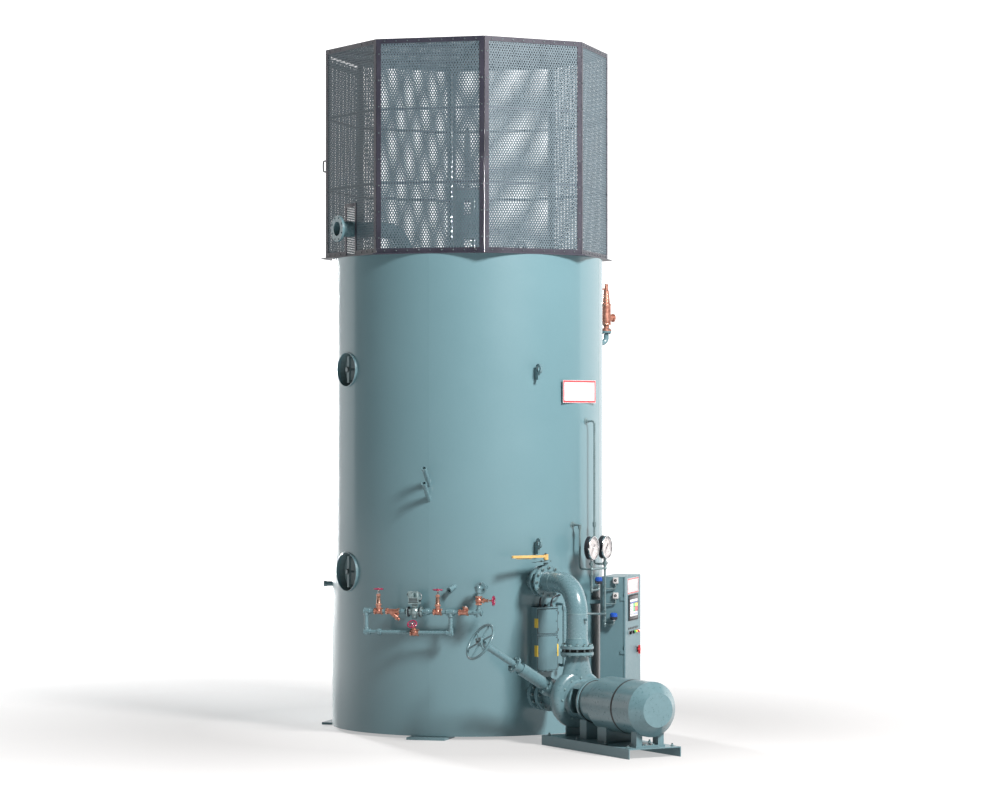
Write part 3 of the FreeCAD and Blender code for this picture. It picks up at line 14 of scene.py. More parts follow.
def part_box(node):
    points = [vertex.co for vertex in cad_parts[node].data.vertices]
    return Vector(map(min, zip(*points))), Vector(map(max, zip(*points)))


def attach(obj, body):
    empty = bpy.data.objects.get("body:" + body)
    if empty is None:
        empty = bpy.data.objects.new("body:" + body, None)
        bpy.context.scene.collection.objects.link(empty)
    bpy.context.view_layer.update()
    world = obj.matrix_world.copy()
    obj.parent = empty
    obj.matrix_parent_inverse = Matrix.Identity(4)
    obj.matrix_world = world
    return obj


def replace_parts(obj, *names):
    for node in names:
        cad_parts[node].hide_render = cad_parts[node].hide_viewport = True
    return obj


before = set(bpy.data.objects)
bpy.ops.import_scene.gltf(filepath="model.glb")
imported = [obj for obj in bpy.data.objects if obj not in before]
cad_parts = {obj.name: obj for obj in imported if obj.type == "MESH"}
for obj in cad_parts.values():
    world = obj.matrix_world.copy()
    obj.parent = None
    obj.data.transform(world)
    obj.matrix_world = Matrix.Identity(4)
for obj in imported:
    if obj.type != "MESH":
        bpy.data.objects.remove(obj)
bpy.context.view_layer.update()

UP = Vector((0, 0, 1))
chance = random.Random(11)


def outward(angle):
    """Unit vector away from the vessel's axis."""
    turn = math.radians(angle)
    return Vector((math.sin(turn), -math.cos(turn), 0))


def sideways(angle):
    """Unit vector along the wall, towards a growing angle."""
    turn = math.radians(angle)
    return Vector((math.cos(turn), math.sin(turn), 0))


def at(angle, side, out, height):
    """A point from a face angle, a sideways step, a distance out and a height."""
    return sideways(angle) * side + outward(angle) * out + UP * height


def low(node):
    """A node's lowest corner."""
    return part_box(node)[0]


def high(node):
    """A node's highest corner."""
    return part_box(node)[1]


def middle(node):
    """The centre of a node's box."""
    return (low(node) + high(node)) / 2


# ---- places worked out from the frame ----
deck_thickness = 0.010
valve_reach = 0.226
casing_radius = -low("casing_front").y
casing_top = high("casing_front").z
deck_level = casing_top + deck_thickness
cage_top = high("cage_rails").z
cage_inradius = high("cage_rails").x
half_corner = math.radians(22.5)
cage_half_side = cage_inradius * math.tan(half_corner)
pump_axis = middle("pump_motor").z
riser_y = middle("flexible_joint").y
discharge_axis = high("butterfly_valve").z - valve_reach
wafer_y = middle("butterfly_valve").y
joint_low = low("flexible_joint").z
joint_high = high("flexible_joint").z

# ---- common stock ----
frame_thickness = 0.005
frame_leg = 0.050
mesh_thickness = 0.003
flange_thickness = 0.028
flange_circle = 0.1475
flange_bolts = 12
stud_radius = 0.010
nut_radius = 0.0175
nut_height = 0.016


# ---------------------------------------------------------------- shared surface effects
def effect(name, inputs, outputs):
    """Empty node group with named sockets; returns the group and its in and out nodes."""
    group = bpy.data.node_groups.new(name, "ShaderNodeTree")
    for socket, value in inputs:
        made = group.interface.new_socket(name=socket, in_out="INPUT", socket_type="NodeSocketFloat")
        made.default_value = value
    for socket in outputs:
        group.interface.new_socket(name=socket, in_out="OUTPUT", socket_type="NodeSocketFloat")
    return group, group.nodes.new("NodeGroupInput"), group.nodes.new("NodeGroupOutput")


def noise(tree, vector, scale, detail, roughness=0.55):
    """Noise texture; scale is a number or an output socket."""
    node = tree.nodes.new("ShaderNodeTexNoise")
    tree.links.new(vector, node.inputs["Vector"])
    node.inputs["Detail"].default_value = detail
    node.inputs["Roughness"].default_value = roughness
    if hasattr(scale, "links"):
        tree.links.new(scale, node.inputs["Scale"])
    else:
        node.inputs["Scale"].default_value = scale
    return node.outputs["Fac"]


def spread(tree, value, from_low, from_high, to_low=0.0, to_high=1.0):
    """Value stretched from one range to another and kept inside it."""
    node = tree.nodes.new("ShaderNodeMapRange")
    tree.links.new(value, node.inputs["Value"])
    node.inputs["From Min"].default_value = from_low
    node.inputs["From Max"].default_value = from_high
    node.inputs["To Min"].default_value = to_low
    node.inputs["To Max"].default_value = to_high
    return node.outputs["Result"]


def worked(tree, operation, first, second):
    """Math on two values; each is a number or an output socket."""
    node = tree.nodes.new("ShaderNodeMath")
    node.operation = operation
    for slot, value in enumerate((first, second)):
        if hasattr(value, "links"):
            tree.links.new(value, node.inputs[slot])
        else:
            node.inputs[slot].default_value = value
    return node.outputs[0]


def paint_effect():
    """Sprayed enamel: cloudy shade, gloss that wanders, orange peel."""
    group, given, made = effect(
        "sprayed_enamel", [("Cloud Size", 0.8), ("Peel Size", 260.0)], ["Shade", "Gloss", "Relief"])
    place = group.nodes.new("ShaderNodeTexCoord").outputs["Object"]
    cloud = noise(group, place, given.outputs["Cloud Size"], 5.0, 0.6)
    specks = noise(group, place, 46.0, 3.0)
    peel = noise(group, place, given.outputs["Peel Size"], 2.0)
    shade = worked(group, "ADD", worked(group, "MULTIPLY", cloud, 0.75),
                   worked(group, "MULTIPLY", specks, 0.25))
    group.links.new(spread(group, shade, 0.3, 0.7), made.inputs["Shade"])
    group.links.new(spread(group, worked(group, "ADD", cloud, specks), 0.7, 1.3), made.inputs["Gloss"])
    group.links.new(worked(group, "ADD", peel, worked(group, "MULTIPLY", specks, 0.4)), made.inputs["Relief"])
    return group


def cast_effect():
    """Sand-cast skin: pits and soft lumps."""
    group, given, made = effect("cast_skin", [("Pit Size", 190.0)], ["Shade", "Gloss", "Relief"])
    place = group.nodes.new("ShaderNodeTexCoord").outputs["Object"]
    lumps = noise(group, place, 34.0, 4.0)
    cells = group.nodes.new("ShaderNodeTexVoronoi")
    group.links.new(place, cells.inputs["Vector"])
    group.links.new(given.outputs["Pit Size"], cells.inputs["Scale"])
    pits = spread(group, cells.outputs["Distance"], 0.15, 0.6)
    group.links.new(spread(group, lumps, 0.3, 0.7), made.inputs["Shade"])
    group.links.new(spread(group, lumps, 0.25, 0.75), made.inputs["Gloss"])
    group.links.new(worked(group, "ADD", worked(group, "MULTIPLY", pits, 0.5), lumps), made.inputs["Relief"])
    return group


def brushed_effect():
    """Machined or brushed metal: fine streaks along one way."""
    group, given, made = effect("brushed_metal", [("Streak Size", 18.0)], ["Shade", "Gloss", "Relief"])
    place = group.nodes.new("ShaderNodeTexCoord").outputs["Object"]
    stretch = group.nodes.new("ShaderNodeMapping")
    stretch.inputs["Scale"].default_value = (1.0, 1.0, 22.0)
    group.links.new(place, stretch.inputs["Vector"])
    streaks = noise(group, stretch.outputs["Vector"], given.outputs["Streak Size"], 6.0, 0.7)
    blotch = noise(group, place, 9.0, 3.0)
    group.links.new(spread(group, worked(group, "ADD", streaks, blotch), 0.7, 1.3), made.inputs["Shade"])
    group.links.new(spread(group, streaks, 0.3, 0.7), made.inputs["Gloss"])
    group.links.new(streaks, made.inputs["Relief"])
    return group


def wear_effect():
    """Edge mask: where the surface turns sharply, broken up by scuffs."""
    group, given, made = effect("edge_wear", [("Width", 0.003), ("Amount", 0.6)], ["Edge"])
    rounded = group.nodes.new("ShaderNodeBevel")
    rounded.samples = 4
    group.links.new(given.outputs["Width"], rounded.inputs["Radius"])
    plain = group.nodes.new("ShaderNodeNewGeometry")
    meet = group.nodes.new("ShaderNodeVectorMath")
    meet.operation = "DOT_PRODUCT"
    group.links.new(rounded.outputs["Normal"], meet.inputs[0])
    group.links.new(plain.outputs["Normal"], meet.inputs[1])
    sharp = spread(group, meet.outputs["Value"], 0.95, 0.72)
    scuffs = spread(group, noise(group, group.nodes.new("ShaderNodeTexCoord").outputs["Object"], 38.0, 5.0,
                                 0.7), 0.42, 0.6)
    rubbed = worked(group, "MULTIPLY", worked(group, "MULTIPLY", sharp, scuffs), given.outputs["Amount"])
    group.links.new(rubbed, made.inputs["Edge"])
    return group


def dust_effect():
    """Dust mask: faces that look up, and a band near the floor."""
    group, given, made = effect("settled_dust", [("Amount", 0.25), ("Band", 0.35)], ["Dust"])
    plain = group.nodes.new("ShaderNodeNewGeometry")
    facing = group.nodes.new("ShaderNodeSeparateXYZ")
    group.links.new(plain.outputs["Normal"], facing.inputs["Vector"])
    place = group.nodes.new("ShaderNodeTexCoord").outputs["Object"]
    height = group.nodes.new("ShaderNodeSeparateXYZ")
    group.links.new(place, height.inputs["Vector"])
    top = spread(group, facing.outputs["Z"], 0.55, 1.0)
    share = worked(group, "DIVIDE", height.outputs["Z"], given.outputs["Band"])
    splash = spread(group, share, 1.0, 0.0, 0.0, 0.7)
    patch = spread(group, noise(group, place, 7.0, 6.0, 0.65), 0.3, 0.75)
    layer = worked(group, "MULTIPLY", worked(group, "MAXIMUM", top, splash), patch)
    group.links.new(worked(group, "MULTIPLY", layer, given.outputs["Amount"]), made.inputs["Dust"])
    return group


skins = {"paint": paint_effect(), "cast": cast_effect(), "brushed": brushed_effect()}
wear_group = wear_effect()
dust_group = dust_effect()


# ---------------------------------------------------------------- finishes
dust_shade = (0.30, 0.32, 0.32)
bump_strength = 0.22
bump_reach = 0.003
coat_roughness = 0.12


def placed(tree, group, values):
    """A shared effect in a material, with its own values."""
    node = tree.nodes.new("ShaderNodeGroup")
    node.node_tree = group
    for socket, value in values.items():
        node.inputs[socket].default_value = value
    return node


def mixed(tree, share, first, second):
    """Colour between two; each is a colour or an output socket."""
    node = tree.nodes.new("ShaderNodeMix")
    node.data_type = "RGBA"
    tree.links.new(share, node.inputs["Factor"])
    for slot, colour in ((6, first), (7, second)):
        if hasattr(colour, "links"):
            tree.links.new(colour, node.inputs[slot])
        else:
            node.inputs[slot].default_value = (*colour, 1.0)
    return node.outputs[2]


def finish(name, deep, light, rough, skin="paint", values=None, relief=0.02, metal=0.0, coat=0.0, worn=None,
           wear=0.5, wear_width=0.003, dust=0.0, glow=0.0, sheen=0.5):
    """A finish: two shades, a roughness range, one skin, and edge wear and dust where given."""
    material = bpy.data.materials.new(name)
    material.use_nodes = True
    tree = material.node_tree
    shader = tree.nodes["Principled BSDF"]
    surface = placed(tree, skins[skin], values or {})
    colour = mixed(tree, surface.outputs["Shade"], deep, light)
    gloss = spread(tree, surface.outputs["Gloss"], 0.0, 1.0, rough[0], rough[1])
    if worn:
        edges = placed(tree, wear_group, {"Width": wear_width, "Amount": wear}).outputs["Edge"]
        colour = mixed(tree, edges, colour, worn)
    if dust:
        film = placed(tree, dust_group, {"Amount": dust}).outputs["Dust"]
        colour = mixed(tree, film, colour, dust_shade)
        gloss = worked(tree, "ADD", gloss, worked(tree, "MULTIPLY", film, 0.5))
    tree.links.new(colour, shader.inputs["Base Color"])
    tree.links.new(gloss, shader.inputs["Roughness"])
    shader.inputs["Metallic"].default_value = metal
    shader.inputs["Coat Weight"].default_value = coat
    shader.inputs["Specular IOR Level"].default_value = sheen
    shader.inputs["Coat Roughness"].default_value = coat_roughness
    if glow:
        tree.links.new(colour, shader.inputs["Emission Color"])
        shader.inputs["Emission Strength"].default_value = glow
    bump = tree.nodes.new("ShaderNodeBump")
    bump.inputs["Strength"].default_value = bump_strength
    bump.inputs["Distance"].default_value = relief * bump_reach
    tree.links.new(surface.outputs["Relief"], bump.inputs["Height"])
    tree.links.new(bump.outputs["Normal"], shader.inputs["Normal"])
    return material


def clear_glass():
    """Gauge glass."""
    material = finish("gauge_glass", (0.95, 0.97, 0.97), (1.0, 1.0, 1.0), (0.02, 0.06), relief=0.002)
    shader = material.node_tree.nodes["Principled BSDF"]
    shader.inputs["Transmission Weight"].default_value = 1.0
    shader.inputs["IOR"].default_value = 1.05
    return material


worn_paint = (0.27, 0.36, 0.38)
bare_steel = (0.42, 0.42, 0.42)
casing_enamel = finish("casing_enamel", (0.102, 0.197, 0.226), (0.113, 0.214, 0.244), (0.32, 0.42),
                       values={"Cloud Size": 0.7, "Peel Size": 300.0}, relief=0.012, coat=0.5, dust=0.06)
sheet_enamel = finish("sheet_enamel", (0.094, 0.178, 0.204), (0.108, 0.198, 0.226), (0.32, 0.44),
                      values={"Cloud Size": 2.4, "Peel Size": 340.0}, relief=0.015, worn=worn_paint,
                      wear=0.35, wear_width=0.0025, dust=0.18)
casting_enamel = finish("casting_enamel", (0.090, 0.170, 0.194), (0.110, 0.200, 0.226), (0.24, 0.38),
                        skin="cast", values={"Pit Size": 150.0}, relief=0.018, coat=0.3, worn=worn_paint,
                        wear=0.3, wear_width=0.003, dust=0.14)
pipe_enamel = finish("pipe_enamel", (0.098, 0.182, 0.208), (0.114, 0.206, 0.233), (0.20, 0.32),
                     values={"Cloud Size": 3.0, "Peel Size": 280.0}, relief=0.014, coat=0.3, worn=worn_paint,
                     wear=0.3, dust=0.10)
cage_enamel = finish("cage_enamel", (0.016, 0.017, 0.028), (0.034, 0.034, 0.052), (0.35, 0.5),
                     values={"Cloud Size": 4.0, "Peel Size": 400.0}, relief=0.02, worn=(0.30, 0.29, 0.34),
                     wear=0.7, wear_width=0.002, dust=0.12)
mesh_enamel = finish("mesh_enamel", (0.066, 0.100, 0.122), (0.098, 0.142, 0.168), (0.40, 0.58),
                     values={"Cloud Size": 5.0, "Peel Size": 500.0}, relief=0.02)
shell_primer = finish("shell_primer", (0.105, 0.165, 0.18), (0.15, 0.225, 0.24), (0.45, 0.6), skin="cast",
                      values={"Pit Size": 220.0}, relief=0.05, worn=bare_steel, wear=0.35, dust=0.2)
cast_bronze = finish("cast_bronze", (0.30, 0.120, 0.085), (0.56, 0.275, 0.205), (0.30, 0.48), skin="cast",
                     values={"Pit Size": 420.0}, relief=0.04, metal=0.72, worn=(0.88, 0.60, 0.48), wear=0.8,
                     wear_width=0.0025)
turned_bronze = finish("turned_bronze", (0.50, 0.255, 0.185), (0.78, 0.48, 0.37), (0.18, 0.32),
                       skin="brushed", relief=0.01, metal=0.9)
wheel_enamel = finish("wheel_enamel", (0.205, 0.008, 0.045), (0.30, 0.014, 0.070), (0.24, 0.38),
                      values={"Cloud Size": 14.0}, relief=0.01, coat=0.4, worn=(0.62, 0.25, 0.30), wear=0.5,
                      wear_width=0.0015)
lever_enamel = finish("lever_enamel", (0.44, 0.275, 0.080), (0.62, 0.42, 0.15), (0.28, 0.42),
                      values={"Cloud Size": 11.0}, relief=0.02, coat=0.2, worn=(0.82, 0.66, 0.40), wear=0.7)
sign_enamel = finish("sign_enamel", (0.52, 0.53, 0.55), (0.58, 0.59, 0.61), (0.22, 0.34),
                     values={"Cloud Size": 3.0}, relief=0.006, dust=0.05)
border_enamel = finish("border_enamel", (0.42, 0.022, 0.030), (0.55, 0.040, 0.048), (0.25, 0.38),
                       values={"Cloud Size": 9.0}, relief=0.006)
# Black enamel of cases; also painted shade on the junction box's right side.
black_case_and_shade = finish("black_case_and_shade", (0.010, 0.012, 0.016), (0.028, 0.032, 0.040), (0.26, 0.42),
                    values={"Cloud Size": 12.0, "Peel Size": 600.0}, relief=0.01, worn=(0.10, 0.11, 0.12),
                    wear=0.3, wear_width=0.0015, sheen=0.25)
bezel_steel = finish("bezel_steel", (0.55, 0.56, 0.57), (0.78, 0.79, 0.80), (0.10, 0.22), skin="brushed",
                     relief=0.006, metal=1.0)
plate_steel = finish("plate_steel", (0.42, 0.43, 0.44), (0.60, 0.61, 0.62), (0.22, 0.38), skin="brushed",
                     relief=0.012, metal=0.9)
tube_steel = finish("tube_steel", (0.115, 0.175, 0.185), (0.19, 0.27, 0.285), (0.24, 0.38), skin="brushed",
                    values={"Streak Size": 30.0}, relief=0.012, metal=0.35)
fastener_steel = finish("fastener_steel", (0.060, 0.085, 0.092), (0.15, 0.19, 0.20), (0.28, 0.45),
                        skin="brushed", relief=0.02, metal=0.6, worn=(0.42, 0.46, 0.47), wear=0.6,
                        wear_width=0.0015)
painted_nut = finish("painted_nut", (0.13, 0.225, 0.245), (0.19, 0.31, 0.33), (0.26, 0.4), skin="cast",
                     relief=0.02, worn=worn_paint, wear=0.7, wear_width=0.0015)
weld_enamel = finish("weld_enamel", (0.115, 0.205, 0.225), (0.17, 0.28, 0.30), (0.35, 0.5), skin="cast",
                     values={"Pit Size": 260.0}, relief=0.09)
dial_card = finish("dial_card", (0.36, 0.34, 0.345), (0.42, 0.40, 0.40), (0.45, 0.6),
                   values={"Cloud Size": 18.0}, relief=0.004)
ink_black = finish("ink_black", (0.012, 0.012, 0.014), (0.030, 0.030, 0.034), (0.4, 0.6),
                   values={"Cloud Size": 30.0}, relief=0.003)
gauge_glass = clear_glass()
cap_blue = finish("cap_blue", (0.008, 0.045, 0.26), (0.016, 0.085, 0.42), (0.16, 0.30),
                  values={"Cloud Size": 20.0, "Peel Size": 700.0}, relief=0.01, coat=0.4,
                  worn=(0.10, 0.20, 0.55), wear=0.5, wear_width=0.0015)
# Black rubber; also painted shade on the motor barrel and in the pump lantern's windows.
black_rubber_and_shade = finish("black_rubber_and_shade", (0.012, 0.013, 0.014), (0.030, 0.031, 0.033), (0.55, 0.75), skin="cast",
                      values={"Pit Size": 300.0}, relief=0.05)
control_black = finish("control_black", (0.006, 0.006, 0.008), (0.014, 0.014, 0.017), (0.45, 0.6),
                       values={"Cloud Size": 20.0, "Peel Size": 700.0}, relief=0.01, worn=(0.06, 0.06, 0.07),
                       wear=0.3, wear_width=0.001, sheen=0.15)
switch_white = finish("switch_white", (0.52, 0.52, 0.52), (0.60, 0.60, 0.60), (0.28, 0.42),
                      values={"Cloud Size": 25.0}, relief=0.006, worn=(0.92, 0.92, 0.91), wear=0.4,
                      wear_width=0.001)
lamp_green = finish("lamp_green", (0.01, 0.30, 0.05), (0.03, 0.50, 0.10), (0.08, 0.2), relief=0.004, coat=0.6)
lamp_yellow = finish("lamp_yellow", (0.70, 0.46, 0.02), (0.88, 0.66, 0.06), (0.08, 0.2), relief=0.004,
                     coat=0.6)
lamp_red = finish("lamp_red", (0.50, 0.012, 0.018), (0.78, 0.040, 0.045), (0.08, 0.2), relief=0.004, coat=0.6)
grip_red = finish("grip_red", (0.42, 0.012, 0.020), (0.58, 0.030, 0.038), (0.26, 0.40),
                  values={"Cloud Size": 22.0}, relief=0.01, worn=(0.72, 0.20, 0.20), wear=0.5,
                  wear_width=0.0015)
caution_yellow = finish("caution_yellow", (0.60, 0.42, 0.035), (0.76, 0.56, 0.08), (0.32, 0.48),
                        values={"Cloud Size": 12.0}, relief=0.01)
screen_dark = finish("screen_dark", (0.008, 0.008, 0.012), (0.014, 0.014, 0.020), (0.22, 0.30),
                     values={"Cloud Size": 8.0}, relief=0.002, sheen=0.2)
tile_shades = {
    "white": ((0.70, 0.72, 0.76), (0.82, 0.84, 0.88)),
    "yellow": ((0.80, 0.66, 0.04), (0.90, 0.78, 0.08)),
    "green": ((0.03, 0.36, 0.10), (0.05, 0.50, 0.15)),
    "red": ((0.68, 0.03, 0.05), (0.85, 0.06, 0.08)),
    "blue": ((0.03, 0.08, 0.36), (0.05, 0.12, 0.50)),
}
screen_tints = {tint: finish("tile_" + tint, *shades, (0.1, 0.2), relief=0.002, glow=0.25)
                for tint, shades in tile_shades.items()}
sheet_plastic = finish("sheet_plastic", (0.32, 0.33, 0.34), (0.42, 0.43, 0.44), (0.4, 0.55),
                       values={"Cloud Size": 10.0}, relief=0.01)
valve_casting = finish("valve_casting", (0.17, 0.25, 0.26), (0.30, 0.40, 0.41), (0.25, 0.42), skin="cast",
                       values={"Pit Size": 360.0}, relief=0.05, metal=0.45, worn=(0.62, 0.68, 0.68), wear=0.9,
                       wear_width=0.0025)
glazed_porcelain = finish("glazed_porcelain", (0.13, 0.155, 0.17), (0.19, 0.215, 0.235), (0.10, 0.24),
                          values={"Cloud Size": 9.0}, relief=0.01, coat=0.6)

node_finishes = {
    casing_enamel: ["casing_front", "casing_right", "casing_back", "casing_left"],
    cage_enamel: ["deck_plate", "cage_posts", "cage_rails", "roof_beam", "roof_ribs"],
    casting_enamel: ["lifting_lugs", "butterfly_valve", "suction_valve", "suction_handwheel", "pump_volute",
                     "pump_bracket", "pump_motor", "electrode_turret"],
    pipe_enamel: ["casing_nozzles", "steam_outlet", "pump_nozzles", "discharge_pipe", "suction_spool",
                  "feed_pipes", "side_pipe"],
    sheet_enamel: ["anchor_feet", "pump_skid", "cabinet_plinth", "cabinet_body", "cabinet_door",
                   "junction_box"],
    shell_primer: ["pressure_shell", "shell_heads", "manways"],
    tube_steel: ["gauge_piping"],
    cast_bronze: ["safety_valve", "gate_valves", "strainer", "bypass_valve", "check_valve", "stop_valve"],
    wheel_enamel: ["gate_wheel_left", "gate_wheel_right", "bypass_wheel", "stop_wheel"],
    lever_enamel: ["valve_lever"],
    sign_enamel: ["casing_sign"],
    black_rubber_and_shade: ["flexible_joint"],
    valve_casting: ["control_valve"],
    glazed_porcelain: ["electrode_bushing"],
}
for surface, names in node_finishes.items():
    for name in names:
        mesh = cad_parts[name].data
        mesh.materials.clear()
        mesh.materials.append(surface)


# ---------------------------------------------------------------- shop tools
crease_angle = math.radians(32)
bead_steps = 7


def piece(name, shape, finishes, body="vessel"):
    """Finish a shape as one named piece that rides on a body."""
    bmesh.ops.recalc_face_normals(shape, faces=shape.faces)
    mesh = bpy.data.meshes.new(name)
    shape.to_mesh(mesh)
    shape.free()
    for surface in finishes:
        mesh.materials.append(surface)
    mesh.shade_smooth()
    mesh.set_sharp_from_angle(angle=crease_angle)
    made = bpy.data.objects.new(name, mesh)
    bpy.context.scene.collection.objects.link(made)
    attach(made, body)
    return made


def turned(shape, foot, direction, profile, sides=24, finish_index=0, phase=0.0):
    """Solid of revolution: profile is (distance along, radius) pairs."""
    axis = Vector(direction).normalized()
    across = axis.orthogonal().normalized()
    other = axis.cross(across)
    rings = []
    for along, radius in profile:
        ring = []
        for step in range(sides):
            turn = phase + 2 * math.pi * step / sides
            spoke = across * math.cos(turn) + other * math.sin(turn)
            ring.append(shape.verts.new(foot + axis * along + spoke * radius))
        rings.append(ring)
    faces = [shape.faces.new(rings[0][::-1]), shape.faces.new(rings[-1])]
    for first, second in zip(rings, rings[1:]):
        for here in range(sides):
            there = (here + 1) % sides
            faces.append(shape.faces.new((first[here], first[there], second[there], second[here])))
    for face in faces:
        face.material_index = finish_index


def hoop(shape, centre, direction, radius, section, sides=48, finish_index=0):
    """Closed ring swept round an axis; section is (along, radial) pairs about its centre line."""
    axis = Vector(direction).normalized()
    across = axis.orthogonal().normalized()
    other = axis.cross(across)
    rings = []
    for step in range(sides):
        turn = 2 * math.pi * step / sides
        spoke = across * math.cos(turn) + other * math.sin(turn)
        rings.append([shape.verts.new(centre + axis * along + spoke * (radius + radial))
                      for along, radial in section])
    count = len(section)
    for step in range(sides):
        first, second = rings[step], rings[(step + 1) % sides]
        for here in range(count):
            there = (here + 1) % count
            face = shape.faces.new((first[here], first[there], second[there], second[here]))
            face.material_index = finish_index


def bead_section(width, height):
    """Half-round weld bead that lies on a surface."""
    points = [(-width / 2, -height * 0.5)]
    for step in range(bead_steps + 1):
        turn = math.pi * step / bead_steps
        points.append((-math.cos(turn) * width / 2, math.sin(turn) * height))
    points.append((width / 2, -height * 0.5))
    return points


def slab(shape, corner, along, across, up, soften=0.0, finish_index=0):
    """Box from a corner and three edge vectors, with its edges softened."""
    before = set(shape.faces)
    points = []
    for rise in (Vector((0, 0, 0)), up):
        for step in (Vector((0, 0, 0)), along, along + across, across):
            points.append(shape.verts.new(corner + step + rise))
    order = ((0, 3, 2, 1), (4, 5, 6, 7), (0, 1, 5, 4), (1, 2, 6, 5), (2, 3, 7, 6), (3, 0, 4, 7))
    faces = [shape.faces.new([points[place] for place in side]) for side in order]
    for face in faces:
        face.material_index = finish_index
    if soften:
        edges = list(dict.fromkeys(edge for face in faces for edge in face.edges))
        bmesh.ops.bevel(shape, geom=edges, offset=soften, segments=2, profile=0.6, affect="EDGES",
                        clamp_overlap=True)
        for face in set(shape.faces) - before:
            face.material_index = finish_index


def wall_block(shape, angle, sides, outs, heights, soften=0.0, finish_index=0):
    """Box between pairs of limits at a face angle."""
    corner = at(angle, sides[0], outs[0], heights[0])
    slab(shape, corner, sideways(angle) * (sides[1] - sides[0]), outward(angle) * (outs[1] - outs[0]),
         UP * (heights[1] - heights[0]), soften, finish_index)


def frame_strips(left, right, bottom, top, width):
    """Side and height limits of the four strips of a flat frame."""
    yield (left, right), (bottom, bottom + width)
    yield (left, right), (top - width, top)
    yield (left, left + width), (bottom + width, top - width)
    yield (right - width, right), (bottom + width, top - width)


def nut(shape, foot, direction, radius=nut_radius, height=nut_height, finish_index=0, turn=0.0):
    """Chamfered hexagon nut or bolt head."""
    profile = [(0, radius * 0.96), (height * 0.08, radius), (height * 0.84, radius), (height, radius * 0.84)]
    turned(shape, foot, direction, profile, 6, finish_index, turn)


def around(axis, count, phase=0.5):
    """Unit vectors spaced evenly round an axis."""
    axis = Vector(axis).normalized()
    across = axis.orthogonal().normalized()
    other = axis.cross(across)
    for step in range(count):
        turn = 2 * math.pi * (step + phase) / count
        yield across * math.cos(turn) + other * math.sin(turn)


def studs(shape, first_face, second_face, circle, count, rod_radius=stud_radius, hexagon=nut_radius,
          tall=nut_height):
    """Studs in the second finish through a flange pair, with a nut in the first finish at both ends."""
    axis = (second_face - first_face).normalized()
    tip, chamfer = rod_radius * 0.8, rod_radius * 0.2
    overhang = tall + tip
    length = (second_face - first_face).length + 2 * overhang
    rod = [(0, tip), (chamfer, rod_radius), (length - chamfer, rod_radius), (length, tip)]
    for spoke in around(axis, count):
        start = first_face + spoke * circle
        turned(shape, start - axis * overhang, axis, rod, 10, 1)
        nut(shape, start, -axis, hexagon, tall, 0, chance.random())
        nut(shape, second_face + spoke * circle, axis, hexagon, tall, 0, chance.random())


def cap_screws(shape, face, axis, circle, count, radius, height, finish_index=0):
    """Ring of bolt heads on a round face."""
    for spoke in around(axis, count):
        nut(shape, face + spoke * circle, axis, radius, height, finish_index, chance.random())


def tube(name, points, radius, surface, body="vessel"):
    """Round tube along a smooth curve."""
    curve = bpy.data.curves.new(name, "CURVE")
    curve.dimensions = "3D"
    curve.bevel_depth = radius
    curve.bevel_resolution = 4
    curve.use_fill_caps = True
    spline = curve.splines.new("NURBS")
    spline.points.add(len(points) - 1)
    for place, point in zip(spline.points, points):
        place.co = (*point, 1.0)
    spline.order_u = 3
    spline.use_endpoint_u = True
    spline.resolution_u = 8
    curve.materials.append(surface)
    made = bpy.data.objects.new(name, curve)
    bpy.context.scene.collection.objects.link(made)
    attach(made, body)


# ---------------------------------------------------------------- mesh cage
strand_width = 0.0120
strand_depth = 0.0016
strand_gap = 0.0260
strand_angle = 60.0
border_width = 0.016
hole_border = 0.010
slot_half = 0.095
slot_frame = 0.039
slot_height = 0.521
door_gap_top = 0.070
mesh_face = cage_inradius - frame_thickness
panel_half = cage_half_side - 0.0153
panel_bottom = deck_level + frame_thickness
panel_top = cage_top - frame_thickness - mesh_thickness - 0.001


def crossing(outline, start, direction):
    """Where a line runs inside a convex outline, as distances from its start."""
    first, last = -1e9, 1e9
    count = len(outline)
    for place in range(count):
        corner = outline[place]
        edge = outline[(place + 1) % count] - corner
        inward = Vector((-edge.y, edge.x))
        rate = inward.dot(direction)
        room = inward.dot(start - corner)
        if abs(rate) < 1e-9:
            if room < 0:
                return None
            continue
        reach = -room / rate
        if rate > 0:
            first = max(first, reach)
        else:
            last = min(last, reach)
    return (first, last) if last - first > 0.004 else None


def strand_runs(outline, direction, hole):
    """Centre lines of one family of strands over an outline, kept out of a hole."""
    across = Vector((-direction.y, direction.x))
    reach = [across.dot(corner) for corner in outline]
    count = int((max(reach) - min(reach)) / strand_gap) + 1
    runs = []
    for step in range(count):
        start = across * (min(reach) + (step + 0.5) * strand_gap)
        whole = crossing(outline, start, direction)
        if not whole:
            continue
        spans = [whole]
        cut = crossing(hole, start, direction) if hole else None
        if cut:
            spans = [(whole[0], min(whole[1], cut[0])), (max(whole[0], cut[1]), whole[1])]
        runs += [(start + direction * a, start + direction * b) for a, b in spans if b - a > 0.01]
    return runs


def rectangle(left, right, bottom, top):
    """Corners of a rectangle, anticlockwise."""
    return [Vector((left, bottom)), Vector((right, bottom)), Vector((right, top)), Vector((left, top))]


